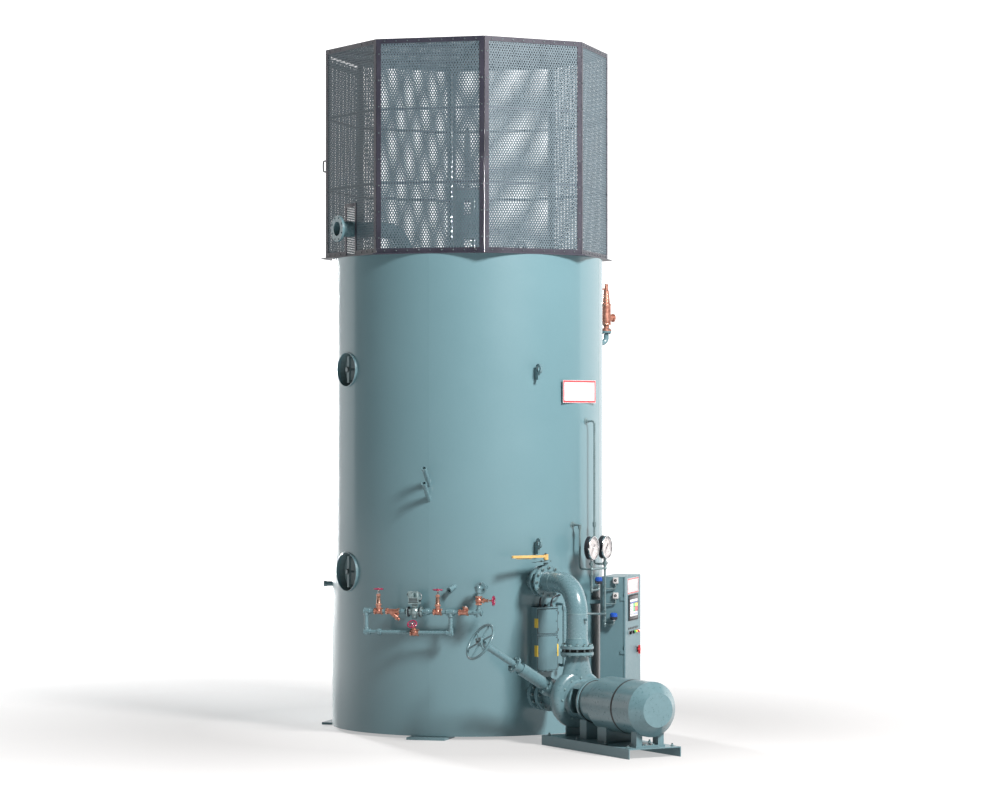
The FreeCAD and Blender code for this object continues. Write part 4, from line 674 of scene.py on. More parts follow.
def mesh_sheet(shape, outline, place, hole=None):
    """Expanded mesh: two families of flat strands that cross, inside a plain border.
    place(flat point, depth) gives a point in the frame; depth 0 is the outer face."""
    centre = sum(outline, Vector((0, 0))) / len(outline)
    inset = [corner + (centre - corner).normalized() * border_width * 0.7 for corner in outline]
    wider = [corner + (corner - sum(hole, Vector((0, 0))) / 4).normalized() * 0.004
             for corner in hole] if hole else None
    for sign, depth in ((1, 0.0002), (-1, 0.0013)):
        turn = math.radians(strand_angle)
        direction = Vector((math.cos(turn) * sign, math.sin(turn)))
        half = Vector((-direction.y, direction.x)) * strand_width / 2
        for start, end in strand_runs(inset, direction, wider):
            ring = [start - half, end - half, end + half, start + half]
            front = [shape.verts.new(place(point, depth)) for point in ring]
            back = [shape.verts.new(place(point, depth + strand_depth)) for point in ring]
            shape.faces.new(front)
            shape.faces.new(back[::-1])
            for here in range(4):
                there = (here + 1) % 4
                shape.faces.new((front[here], back[here], back[there], front[there]))
    border(shape, outline, place, border_width)
    if hole:
        border(shape, hole, place, -hole_border)


def border(shape, outline, place, width):
    """Flat strip round an outline; a negative width lies outside it."""
    count = len(outline)
    rows = []
    for share in (0.0, width):
        edge = []
        for here in range(count):
            before = (outline[here] - outline[here - 1]).normalized()
            after = (outline[(here + 1) % count] - outline[here]).normalized()
            inward = Vector((-before.y, before.x)) + Vector((-after.y, after.x))
            edge.append(outline[here] + inward.normalized() * share / max(0.3, inward.normalized().dot(
                Vector((-after.y, after.x)))))
        rows.append(edge)
    for here in range(count):
        there = (here + 1) % count
        flat = [rows[0][here], rows[0][there], rows[1][there], rows[1][here]]
        front = [shape.verts.new(place(point, 0.0)) for point in flat]
        back = [shape.verts.new(place(point, mesh_thickness)) for point in flat]
        shape.faces.new(front)
        shape.faces.new(back[::-1])
        for one in range(4):
            two = (one + 1) % 4
            shape.faces.new((front[one], back[one], back[two], front[two]))


def wall_place(angle):
    """Places a flat (side, height) point on a cage face."""
    return lambda point, depth: at(angle, point.x, mesh_face - depth, point.y)


def roof_place(point, depth):
    """Places a flat point on the underside of the roof rim."""
    return Vector((point.x, point.y, cage_top - frame_thickness - depth))


wall_names = {0: "front", 45: "front_right", 90: "right", 135: "back_right", 180: "back", -45: "front_left"}
steam_wall = -90
door_wall = -135
frame_outs = (mesh_face, mesh_face + frame_thickness)


def cage_walls():
    """Plain mesh walls."""
    for angle, word in wall_names.items():
        shape = bmesh.new()
        mesh_sheet(shape, rectangle(-panel_half, panel_half, panel_bottom, panel_top), wall_place(angle))
        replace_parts(piece("cage_mesh_" + word, shape, [mesh_enamel]), "cage_panels")


def slotted_wall():
    """Mesh wall with a framed slot for the steam pipe."""
    shape = bmesh.new()
    slot_top = deck_level + slot_height
    frame_top = slot_top + slot_frame
    slot = rectangle(-slot_half, slot_half, panel_bottom - 0.001, slot_top)
    mesh_sheet(shape, rectangle(-panel_half, panel_half, panel_bottom, panel_top), wall_place(steam_wall),
               slot)
    for sides in ((-slot_half - slot_frame, -slot_half), (slot_half, slot_half + slot_frame)):
        wall_block(shape, steam_wall, sides, frame_outs, (deck_level, frame_top), 0.001, 1)
    wall_block(shape, steam_wall, (-slot_half, slot_half), frame_outs, (slot_top, frame_top), 0.001, 1)
    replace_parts(piece("cage_mesh_left", shape, [mesh_enamel, cage_enamel]), "slotted_panel")


def roof_sheet():
    """Mesh under the roof rim."""
    reach = (cage_inradius - frame_thickness - 0.0003) / math.cos(half_corner)
    turns = [half_corner * (2 * step + 1) for step in range(8)]
    outline = [Vector((math.cos(turn), math.sin(turn))) * reach for turn in turns]
    shape = bmesh.new()
    mesh_sheet(shape, outline, roof_place)
    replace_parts(piece("cage_mesh_roof", shape, [mesh_enamel]), "roof_mesh")


def cage_door():
    """Mesh door with its flat frame, three hinges, a latch side and a grab handle."""
    shape = bmesh.new()
    facing = outward(door_wall)
    top = panel_top - door_gap_top
    mesh_sheet(shape, rectangle(-panel_half, panel_half, panel_bottom, top), wall_place(door_wall))
    bar = 0.040
    half = cage_half_side - 0.0572
    inner = half - bar
    bottom, upper = deck_level + frame_leg + 0.004, cage_top - frame_leg - door_gap_top
    for sides in ((-half, -inner), (inner, half)):
        wall_block(shape, door_wall, sides, frame_outs, (bottom, upper), 0.001, 1)
    for heights in ((bottom, bottom + bar), (upper - bar, upper)):
        wall_block(shape, door_wall, (-inner, inner), frame_outs, heights, 0.001, 1)
    for height in (bottom + 0.25, (bottom + upper) / 2, upper - 0.25):
        foot = at(door_wall, -half - 0.012, mesh_face + 0.001, height - 0.045)
        turned(shape, foot, UP, [(0, 0.006), (0.002, 0.0075), (0.088, 0.0075), (0.090, 0.006)], 12, 1)
        wall_block(shape, door_wall, (-half - 0.010, -half + 0.032), (frame_outs[0], frame_outs[1] + 0.0025),
                   (height - 0.035, height + 0.035), 0.0008, 1)
        for rise in (-0.022, 0.022):
            nut(shape, at(door_wall, -half + 0.018, frame_outs[1], height + rise), facing, 0.007, 0.005, 1)
    side, level, reach = half - 0.020, deck_level + 1.003, 0.052
    lower, higher = [at(door_wall, side, frame_outs[1], level + rise) for rise in (-0.060, 0.060)]
    for end in (lower, higher):
        turned(shape, end - facing * 0.002, facing, [(0, 0.016), (0.005, 0.016), (0.006, 0.013)], 16, 1)
    made = piece("cage_mesh_door", shape, [mesh_enamel, cage_enamel])
    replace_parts(made, "cage_door")
    first, last = lower + facing * reach, higher + facing * reach
    grip = [lower, lower.lerp(first, 0.75), first.lerp(last, 0.08), first.lerp(last, 0.92),
            higher.lerp(last, 0.75), higher]
    tube("cage_door_grip", grip, 0.008, cage_enamel)


def cage_fixings():
    """Bolts that join each pair of corner posts and the rims."""
    shape = bmesh.new()
    levels, edge = 8, 0.16
    rim_places, rim_step = 9, 0.125
    for step in range(8):
        face = 45.0 * step - 180.0
        for side in (-1, 1):
            for level in range(levels):
                height = deck_level + edge + level * (cage_top - deck_level - 2 * edge) / (levels - 1)
                spot = at(face, side * (cage_half_side - 0.030), cage_inradius, height)
                nut(shape, spot - outward(face) * 0.0005, outward(face), 0.0085, 0.0062, 0, chance.random())
        for place in range(rim_places):
            side = (place - rim_places // 2) * rim_step
            if face == steam_wall and abs(side) < slot_half + slot_frame:
                continue
            for height in (deck_level + 0.026, cage_top - 0.026):
                spot = at(face, side, cage_inradius, height)
                nut(shape, spot - outward(face) * 0.0005, outward(face), 0.0085, 0.0062, 0, chance.random())
    piece("cage_fixings", shape, [fastener_steel])


cage_walls()
slotted_wall()
roof_sheet()
cage_door()
cage_fixings()


# ---------------------------------------------------------------- pump set fittings
pipe_radius = 0.10955
steam_radius = 0.08415
steam_riser = Vector((-0.780, 0, 0))
skid_top = 0.101
foot_plate = 0.018
nose_depth = 0.114
motor_end = -low("pump_motor").y - nose_depth
stem_tilt = math.radians(31.46)
suction_stem = Vector((-math.cos(stem_tilt), 0, math.sin(stem_tilt)))
riser = Vector((0, riser_y, 0))


def front_point(out, height):
    """Point straight out from the vessel's front."""
    return at(0, 0, out, height)


def flange_studs():
    """Studs and nuts of the large flange joints."""
    shape = bmesh.new()
    joints = (  # distance out from the casing, width across the pair, height
        (0.157, 0.116, discharge_axis), (0.115, 0.058, pump_axis), (0.265, 0.058, pump_axis),
        (0.679, 0.058, pump_axis))
    for out, wide, height in joints:
        first = casing_radius + out
        studs(shape, front_point(first, height), front_point(first + wide, height), flange_circle,
              flange_bolts)
    studs(shape, riser + UP * (joint_low - flange_thickness), riser + UP * (joint_high + flange_thickness),
          flange_circle, flange_bolts)
    piece("flange_studs", shape, [painted_nut, fastener_steel])


def weld_beads():
    """Weld beads on the pump's pipework and where nozzles meet the shell."""
    shape = bmesh.new()
    section = bead_section(0.009, 0.0028)
    for height in (joint_high + 0.107, discharge_axis - 0.306):
        hoop(shape, riser + UP * height, UP, pipe_radius, section, 64)
    hoop(shape, front_point(casing_radius + 0.42, discharge_axis), outward(0), pipe_radius, section, 64)
    for out, height in ((casing_radius + 0.2505, pump_axis), (casing_radius + 0.187, pump_axis),
                        (casing_radius + 0.150, discharge_axis)):
        hoop(shape, front_point(out, height), outward(0), pipe_radius, section, 64)
    steam_level = high("steam_outlet").z - 0.1397
    for out in (cage_inradius + 0.135, 1.012):
        hoop(shape, at(-90, 0, out, steam_level), outward(-90), steam_radius, section, 48)
    hoop(shape, steam_riser + UP * (deck_level + 0.0565), UP, steam_radius, section, 48)
    hoop(shape, steam_riser + UP * (deck_level + 0.015), UP, 0.0862, bead_section(0.010, 0.005), 48)
    piece("weld_beads", shape, [weld_enamel])


def pump_bolting():
    """Bolts of the volute cover, the adapter, the bonnet and the feet."""
    shape = bmesh.new()
    front = outward(0)
    adapter = casing_radius + 1.210
    cap_screws(shape, front_point(adapter, pump_axis), -front, 0.213, 8, 0.015, 0.013)
    cap_screws(shape, front_point(casing_radius + 0.925, pump_axis), front, 0.222, 12, 0.012, 0.010)
    stem = suction_stem
    centre = front_point(casing_radius + 0.560, pump_axis)
    studs(shape, centre + stem * 0.190, centre + stem * 0.250, 0.085, 8, 0.007, 0.012, 0.011)
    studs(shape, centre + stem * 0.667, centre + stem * 0.689, 0.066, 6, 0.006, 0.011, 0.010)
    for side in (-0.125, 0.125):
        for out in (motor_end - 0.110, motor_end - 0.050):
            nut(shape, Vector((side * 0.36, -out, skid_top + foot_plate)), UP, 0.013, 0.012, 0,
                chance.random())
    for side in (-0.26, 0.26):
        for out in (2.20, 2.75, 3.30, 3.72):
            turned(shape, Vector((side, -out, skid_top)), UP, [(0, 0.021), (0.003, 0.021), (0.0035, 0.019)],
                   20, 1)
            nut(shape, Vector((side, -out, skid_top + 0.003)), UP, 0.0150, 0.013, 0, chance.random())
            turned(shape, Vector((side, -out, skid_top + 0.011)), UP,
                   [(0, 0.0085), (0.016, 0.0085), (0.018, 0.007)], 10, 1)
    piece("pump_bolting", shape, [painted_nut, fastener_steel])


def coupling():
    """Coupling behind the lantern's windows: hubs, spider, set screws; its black sleeve is part guard, part
    painted shade.
    """
    shape = bmesh.new()
    start = front_point(casing_radius + 0.975, pump_axis)
    hub = [(0, 0.050), (0.004, 0.056), (0.030, 0.056), (0.034, 0.092), (0.062, 0.094), (0.064, 0.090)]
    turned(shape, start, outward(0), hub, 40)
    turned(shape, start + outward(0) * 0.172, -outward(0), hub, 40)
    turned(shape, start + outward(0) * 0.065, outward(0), [(0, 0.086), (0.003, 0.088), (0.039, 0.088),
                                                           (0.042, 0.086)], 40, 1)
    for spoke in around(outward(0), 6, 0.0):
        nut(shape, start + outward(0) * 0.031 + spoke * 0.072, -outward(0), 0.008, 0.007, 0, 0.3)
    # Black sleeve: partly a guard, partly painted shade that darkens the lantern's windows.
    hoop(shape, front_point(casing_radius + 1.088, pump_axis), outward(0), 0.112,
         [(-0.074, 0.0), (-0.074, 0.002), (0.074, 0.002), (0.074, 0.0)], 64, 1)
    piece("shaft_coupling", shape, [black_case_and_shade, black_rubber_and_shade])


def motor_shade_bands():
    """Painted shade: a black band over the barrel's groove, and a thin black ring at the nose as a painted
    shadow gap.
    """
    shape = bmesh.new()
    groove = motor_end - 0.328
    # Painted shade: a black band laid over the groove, wider than the groove itself.
    hoop(shape, front_point(groove, pump_axis), outward(0), 0.2665,
         [(-0.0170, -0.001), (-0.0160, 0.0088), (0.0160, 0.0088), (0.0170, -0.001)], 96)
    # Painted shadow: a thin black ring where the nose meets the adapter.
    hoop(shape, front_point(casing_radius + 1.2420, pump_axis), outward(0), 0.2145,
         [(-0.0040, -0.001), (-0.0040, 0.0060), (0.0040, 0.0060), (0.0040, -0.001)], 96)
    piece("motor_shade_bands", shape, [black_rubber_and_shade])


def joint_ribs():
    """Moulded ribs round the rubber joint."""
    shape = bmesh.new()
    for height in (joint_low + 0.008, joint_low + 0.017, joint_low + 0.026):
        hoop(shape, riser + UP * height, UP, 0.1295, bead_section(0.007, 0.0035), 64)
    piece("joint_ribs", shape, [black_rubber_and_shade])


flange_studs()
weld_beads()
pump_bolting()
coupling()
motor_shade_bands()
joint_ribs()


def lever_fittings():
    """Latch and pivot nut of the butterfly valve's lever."""
    shape = bmesh.new()
    top = high("valve_lever").z
    centre = Vector((0, wafer_y, top))
    turned(shape, centre - UP * 0.004, UP, [(0, 0.022), (0.003, 0.022), (0.004, 0.020)], 24, 1)
    nut(shape, centre - UP * 0.001, UP, 0.015, 0.013, 1, 0.2)
    bar_low = top - 0.008 - 0.026
    slab(shape, Vector((-0.36, wafer_y - 0.007, bar_low - 0.012)), Vector((0.19, 0, 0)),
         Vector((0, 0.014, 0)), Vector((0, 0, 0.008)), 0.002, 0)
    for along in (-0.34, -0.20):
        slab(shape, Vector((along, wafer_y - 0.0055, bar_low - 0.008)), Vector((0.012, 0, 0)),
             Vector((0, 0.011, 0)), Vector((0, 0, 0.010)), 0.001, 0)
    piece("lever_latch", shape, [lever_enamel, fastener_steel], "valve_lever")


def notch_plate():
    """Toothed edge of the lever's stop plate."""
    shape = bmesh.new()
    level = discharge_axis + 0.200
    for step in range(10):
        side = Vector((-0.135 + step * 0.012, wafer_y - 0.046, level + 0.006))
        slab(shape, side, Vector((0.006, 0, 0)), Vector((0, 0.012, 0)), Vector((0, 0, 0.005)), 0.0008)
    for side in (-0.035, 0.035):
        for out in (-0.035, 0.035):
            nut(shape, Vector((side, wafer_y + out, level + 0.010)), UP, 0.009, 0.008, 0, 0.4)
    piece("notch_plate", shape, [fastener_steel])


lever_fittings()
notch_plate()


# ---------------------------------------------------------------- feed train fittings
train_out = casing_radius + 0.147
train_level = 1.342
bypass_level = 1.124
gate_sides = (-0.507, 0.139)
strainer_side = -0.351
control_side = -0.111
bypass_side = -0.112
check_side = 0.421
stop_side = 0.583
stop_level = 1.469
bypass_stem = (outward(-45) + UP).normalized()


def train(side, level):
    """Point on the feed train's plane."""
    return at(-45, side, train_out, level)


def hex_collars(shape, centre, direction, half, radius, width):
    """Hexagon ends on both sides of a small valve."""
    for sign in (-1, 1):
        face = centre + direction * sign * half
        nut(shape, face, direction * -sign, radius, width, 0, 0.26)


def valve_trim():
    """Hexagon ends, packing nuts and spindles of the bronze valves."""
    shape = bmesh.new()
    along = sideways(-45)
    for side in gate_sides:
        centre = train(side, train_level)
        hex_collars(shape, centre, along, 0.046, 0.0375, 0.017)
        nut(shape, centre + UP * 0.066, UP, 0.034, 0.014, 0, 0.2)
        nut(shape, centre + UP * 0.160, UP, 0.0235, 0.020, 0, 0.5)
        turned(shape, centre + UP * 0.076, UP, [(0, 0.0245), (0.010, 0.0245), (0.012, 0.0235),
                                                (0.080, 0.0188)], 24, 0)
        turned(shape, centre + UP * 0.182, UP, [(0, 0.0105), (0.036, 0.0105), (0.040, 0.0085)], 16, 1)
    hex_collars(shape, train(strainer_side, train_level), along, 0.073, 0.0355, 0.020)
    leg = (along * 0.76 - UP * 0.65).normalized()
    foot = train(strainer_side - 0.0288, train_level)
    nut(shape, foot + leg * 0.100, leg, 0.0275, 0.016, 0, 0.1)
    nut(shape, foot + leg * 0.128, leg, 0.0135, 0.012, 1, 0.1)
    hex_collars(shape, train(check_side, train_level), along, 0.053, 0.036, 0.018)
    cap = (UP * 0.94 + along * 0.34).normalized()
    nut(shape, train(check_side, train_level) + cap * 0.050, cap, 0.033, 0.012, 0, 0.0)
    nut(shape, train(check_side, train_level) + cap * 0.062, cap, 0.016, 0.010, 1, 0.0)
    for centre, flow, stem in ((train(bypass_side, bypass_level), along, bypass_stem),
                               (train(stop_side, stop_level), UP, along)):
        hex_collars(shape, centre, flow, 0.046, 0.0375, 0.016)
        nut(shape, centre + stem * 0.046, stem, 0.0315, 0.015, 0, 0.3)
        nut(shape, centre + stem * 0.088, stem, 0.0195, 0.016, 0, 0.7)
        turned(shape, centre + stem * 0.104, stem, [(0, 0.0105), (0.011, 0.0105), (0.012, 0.009)], 16, 1)
    piece("valve_trim", shape, [turned_bronze, plate_steel])


def wheel_nuts():
    """Spindle nuts and washers on the small handwheels."""
    along = sideways(-45)
    stems = {
        "gate_wheel_left": (train(gate_sides[0], train_level + 0.232), UP),
        "gate_wheel_right": (train(gate_sides[1], train_level + 0.232), UP),
        "bypass_wheel": (train(bypass_side, bypass_level) + bypass_stem * 0.134, bypass_stem),
        "stop_wheel": (train(stop_side + 0.160, stop_level), along),
    }
    for body, (centre, stem) in stems.items():
        shape = bmesh.new()
        turned(shape, centre + stem * 0.0088, stem, [(0, 0.0115), (0.0016, 0.0115), (0.002, 0.0105)], 20)
        nut(shape, centre + stem * 0.0105, stem, 0.0088, 0.0065, 0, 0.4)
        piece(body + "_nut", shape, [plate_steel], body)
    shape = bmesh.new()
    stem = suction_stem
    centre = front_point(casing_radius + 0.560, pump_axis) + stem * 1.150
    turned(shape, centre + stem * 0.0265, stem, [(0, 0.030), (0.004, 0.030), (0.005, 0.028)], 28)
    nut(shape, centre + stem * 0.031, stem, 0.025, 0.018, 0, 0.4)
    turned(shape, centre + stem * 0.047, stem, [(0, 0.0135), (0.010, 0.0135), (0.013, 0.011)], 20)
    piece("handwheel_nut", shape, [fastener_steel], "suction_handwheel")


def pipe_trim():
    """Beaded ends of the feed fittings, union hexagons and the small flange bolts."""
    shape = bmesh.new()
    along = sideways(-45)
    bead = bead_section(0.008, 0.0035)
    for side, level, half in ((-0.631, train_level, 0.036), (-0.631, bypass_level, 0.036),
                              (0.267, bypass_level, 0.036), (0.279, train_level, 0.042),
                              (0.577, train_level, 0.044)):
        for sign in (-1, 1):
            hoop(shape, train(side + sign * (half - 0.004), level), along, 0.0295, bead, 32)
    for side, level in ((-0.643, train_level - 0.044), (-0.643, bypass_level + 0.044),
                        (0.279, bypass_level + 0.044), (0.279, train_level - 0.046),
                        (stop_side, train_level + 0.042), (stop_side, 1.553)):
        hoop(shape, train(side, level), UP, 0.0278, bead, 32)
    for side, level in ((0.026, train_level), (-0.500, bypass_level)):
        nut(shape, train(side, level) - along * 0.012, along, 0.0365, 0.024, 0, 0.1)
        hoop(shape, train(side, level) + along * 0.019, along, 0.0300, bead, 32)
    level = 1.595
    first = at(-45, stop_side, train_out - 0.060, level)
    second = at(-45, stop_side, train_out - 0.060 - 0.036, level)
    studs(shape, first, second, 0.047, 4, 0.0055, 0.0105, 0.009)
    piece("pipe_trim", shape, [pipe_enamel, fastener_steel])


def control_trim():
    """Flange bolts, gaskets, covers, tubing and cable gland of the control valve."""
    shape = bmesh.new()
    along, out = sideways(-45), outward(-45)
    centre = train(control_side, train_level)
    for sign in (-1, 1):
        face = centre + along * sign * 0.0575
        turned(shape, face, along * sign, [(0, 0.0548), (0.001, 0.0556), (0.010, 0.0556), (0.011, 0.0548)],
               40, 1)
        cap_screws(shape, face, along * -sign, 0.042, 4, 0.0095, 0.008, 2)
        cap_screws(shape, centre + along * sign * 0.080, along * sign, 0.042, 4, 0.0095, 0.008, 2)
    wall_block(shape, -45, (-0.166, -0.060), (train_out - 0.048, train_out + 0.055),
               (train_level + 0.096, train_level + 0.102), 0.001, 1)
    wall_block(shape, -45, (-0.158, -0.068), (train_out + 0.050, train_out + 0.0545),
               (train_level + 0.108, train_level + 0.143), 0.0015, 2)
    wall_block(shape, -45, (-0.170, -0.122), (train_out + 0.042, train_out + 0.0475),
               (train_level + 0.158, train_level + 0.204), 0.0015, 0)
    for side in (-0.1505, -0.0755):
        for level in (0.114, 0.137):
            nut(shape, at(-45, side, train_out + 0.054, train_level + level), out, 0.0045, 0.003, 2, 0.2)
    for side in (-0.164, -0.128):
        for level in (0.164, 0.198):
            nut(shape, at(-45, side, train_out + 0.047, train_level + level), out, 0.004, 0.003, 2, 0.2)
    turned(shape, centre + along * 0.026 + UP * 0.196, UP, [(0, 0.0245), (0.004, 0.0245), (0.007, 0.020),
                                                            (0.018, 0.008)], 28, 0)
    nut(shape, centre + UP * 0.066, UP, 0.032, 0.012, 2, 0.2)
    nut(shape, centre - UP * 0.058, -UP, 0.027, 0.012, 2, 0.2)
    nut(shape, at(-45, -0.059, train_out, train_level + 0.118), along, 0.013, 0.014, 1, 0.2)
    nut(shape, at(-45, -0.175, train_out + 0.010, train_level + 0.180), -along, 0.011, 0.016, 1, 0.2)
    for step in range(4):
        hoop(shape, centre + UP * (0.026 + step * 0.007), UP, 0.0235, bead_section(0.005, 0.002), 28, 0)
    piece("control_valve_trim", shape, [valve_casting, black_case_and_shade, fastener_steel])
    route = ((-0.052, 0.030, 0.128), (-0.030, 0.036, 0.128), (-0.022, 0.036, 0.165), (-0.048, 0.020, 0.205),
             (-0.085, 0.010, 0.192), (-0.085, 0.010, 0.150))
    tube("control_air_tube", [at(-45, side, train_out + reach, train_level + rise)
                              for side, reach, rise in route], 0.0035, plate_steel)


valve_trim()
wheel_nuts()
pipe_trim()
control_trim()


# ---------------------------------------------------------------- gauges, transmitters and switches
cabinet_back = casing_radius + 0.103
gauge_level = 1.991
gauge_radius = 0.125
gauge_depth = 0.065
gauge_facing = 34.0
gauge_places = ((20.7, 0.247), (31.3, 0.213))
scale_start = 225
scale_sweep = 270
scale_marks = 40
pointer_rest = 234


def lettering(shape, text, size, centre, right, up, thickness, index):
    """Raised plain figures, centred on a point."""
    curve = bpy.data.curves.new("figures", "FONT")
    curve.body = text
    curve.size = size
    curve.align_x, curve.align_y = "CENTER", "CENTER"
    curve.extrude = thickness
    curve.resolution_u = 3
    holder = bpy.data.objects.new("figures", curve)
    bpy.context.scene.collection.objects.link(holder)
    bpy.context.view_layer.update()
    mesh = bpy.data.meshes.new_from_object(holder.evaluated_get(bpy.context.evaluated_depsgraph_get()))
    normal = right.cross(up)
    turn = Matrix((right, up, normal)).transposed().to_4x4()
    mesh.transform(Matrix.Translation(centre) @ turn)
    before = len(shape.faces)
    shape.from_mesh(mesh)
    shape.faces.ensure_lookup_table()
    for face in shape.faces[before:]:
        face.material_index = index
    bpy.data.objects.remove(holder)
    bpy.data.meshes.remove(mesh)
    bpy.data.curves.remove(curve)


def gauge(name, centre):
    """Dial gauge: black case, bright bezel, white card with a scale, pointer and glass."""
    facing = outward(gauge_facing)
    right = sideways(gauge_facing)
    back = centre - facing * gauge_depth / 2
    shape = bmesh.new()
    turned(shape, back, facing, [(0, 0.100), (0.0005, 0.124), (0.007, 0.124), (0.008, 0.114), (0.014, 0.1135),
                                 (0.015, 0.118), (0.044, 0.118), (0.045, 0.112), (0.046, 0.100)], 72, 0)
    hoop(shape, back + facing * 0.045, facing, 0.112, [(0, 0.0065), (0.002, 0.0125), (0.016, 0.0130),
                                                       (0.0195, 0.0105), (0.0200, 0.0030), (0.0150, 0.0000),
                                                       (0.0040, 0.0000)], 96, 1)
    card = back + facing * 0.0485
    turned(shape, card - facing * 0.002, facing, [(0, 0.1115), (0.002, 0.1115)], 72, 2)
    socket = centre - UP * (gauge_radius - 0.016)
    turned(shape, socket + UP * 0.004, -UP, [(0, 0.0150), (0.012, 0.0150), (0.014, 0.0130)], 20, 4)
    nut(shape, socket - UP * 0.008, -UP, 0.0165, 0.018, 4, 0.2)
    for step in range(scale_marks + 1):
        turn = math.radians(scale_start - step * scale_sweep / scale_marks)
        spoke = right * math.cos(turn) + UP * math.sin(turn)
        tangent = facing.cross(spoke)
        big = step % 5 == 0
        inner, half = (0.084, 0.0012) if big else (0.091, 0.0005)
        corner = card + spoke * inner - tangent * half + facing * 0.0001
        slab(shape, corner, spoke * (0.101 - inner), tangent * 2 * half, facing * 0.0004, 0, 3)
    hoop(shape, card + facing * 0.0003, facing, 0.1025, [(-0.0002, -0.0006), (0.0003, -0.0006),
                                                         (0.0003, 0.0006), (-0.0002, 0.0006)], 96, 3)
    for place in range(5):
        turn = math.radians(scale_start - place * scale_sweep / 4)
        spoke = right * math.cos(turn) + UP * math.sin(turn)
        lettering(shape, str(place * 4), 0.024, card + spoke * 0.068 + facing * 0.0003, right, UP, 0.0002, 3)
    turn = math.radians(pointer_rest)
    tip = right * math.cos(turn) + UP * math.sin(turn)
    flank = facing.cross(tip)
    pointer = card + facing * 0.006
    points = [pointer + tip * 0.090 + flank * 0.0008, pointer + tip * 0.090 - flank * 0.0008,
              pointer - flank * 0.0038, pointer - tip * 0.022 - flank * 0.0060,
              pointer - tip * 0.046 - flank * 0.0080, pointer - tip * 0.046 + flank * 0.0080,
              pointer - tip * 0.022 + flank * 0.0060, pointer + flank * 0.0038]
    lower = [shape.verts.new(point) for point in points]
    upper = [shape.verts.new(point + facing * 0.0012) for point in points]
    sides = [(lower[here], lower[(here + 1) % 8], upper[(here + 1) % 8], upper[here]) for here in range(8)]
    for ring in (lower[::-1], upper, *sides):
        shape.faces.new(ring).material_index = 3
    turned(shape, card, facing, [(0, 0.0095), (0.009, 0.0095), (0.0105, 0.0080)], 24, 4)
    made = piece(name, shape, [black_case_and_shade, bezel_steel, dial_card, ink_black, plate_steel])
    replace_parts(made, "pressure_gauges")
    cover = bmesh.new()
    turned(cover, back + facing * 0.0605, facing, [(0, 0.1118), (0.0022, 0.1118)], 72)
    glass = piece(name + "_glass", cover, [gauge_glass])
    glass.visible_shadow = False


for word, (angle, standoff) in zip(("left", "right"), gauge_places):
    gauge("gauge_" + word, at(angle, 0, casing_radius + standoff, gauge_level))


def transmitter(name, foot, lean):
    """Pressure transmitter: steel hexagon, dark housing and blue screwed cap."""
    shape = bmesh.new()
    nut(shape, foot, UP, 0.0200, 0.012, 2, 0.1)
    turned(shape, foot + UP * 0.011, UP, [(0, 0.024), (0.004, 0.0375), (0.010, 0.0385), (0.030, 0.0385),
                                          (0.032, 0.0365)], 48, 1)
    turned(shape, foot + UP * 0.042, UP, [(0, 0.0370), (0.002, 0.0398), (0.026, 0.0400), (0.036, 0.0375),
                                          (0.043, 0.0300), (0.0465, 0.018), (0.0478, 0.004)], 56, 0)
    for spoke in around(UP, 16, 0.5):
        corner = foot + spoke * 0.0385 + UP * 0.045 - UP.cross(spoke) * 0.0018
        slab(shape, corner, spoke * 0.0022, UP.cross(spoke) * 0.0036, UP * 0.020, 0.0006, 0)
    gland = foot + UP * 0.028 + lean * 0.036
    nut(shape, gland, lean, 0.0120, 0.010, 1, 0.2)
    turned(shape, gland + lean * 0.010, lean, [(0, 0.0090), (0.008, 0.0085), (0.012, 0.0060)], 20, 1)
    made = piece(name, shape, [cap_blue, black_case_and_shade, plate_steel])
    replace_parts(made, "pressure_sensors")


transmitter("transmitter_upper", at(26.0, 0, casing_radius + 0.225, 1.592), -sideways(26.0))
transmitter("transmitter_lower", at(45.0, -0.425, casing_radius + 0.267, 1.206), -sideways(45.0))


def pressure_switches():
    """White pressure switches on the cabinet's side, each with a black setting knob."""
    shape = bmesh.new()
    face = -sideways(45)
    out = cabinet_back + 0.175
    side = -0.3603
    for level in (1.635, 1.474):
        wall_block(shape, 45, (side - 0.034, side), (out - 0.0265, out + 0.0265),
                   (level - 0.0315, level + 0.0315), 0.004, 0)
        spot = at(45, side - 0.034, out, level)
        turned(shape, spot - face * 0.001, face, [(0, 0.0155), (0.003, 0.0150), (0.0035, 0.0125),
                                                  (0.0060, 0.0120), (0.0065, 0.0100)], 28, 1)
        slab(shape, at(45, side - 0.0402, out - 0.0016, level - 0.010), -face * 0.003, outward(45) * 0.0032,
             UP * 0.020, 0.0004, 0)
        nut(shape, at(45, side - 0.020, out, level - 0.0315), -UP, 0.0105, 0.010, 2, 0.3)
        for rise in (-0.024, 0.024):
            for step in (-0.019, 0.019):
                turned(shape, at(45, side - 0.0335, out + step, level + rise), face,
                       [(0, 0.0030), (0.0012, 0.0024)], 12, 2)
    made = piece("pressure_switches", shape, [switch_white, control_black, plate_steel])
    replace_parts(made, "pressure_sensors")


pressure_switches()


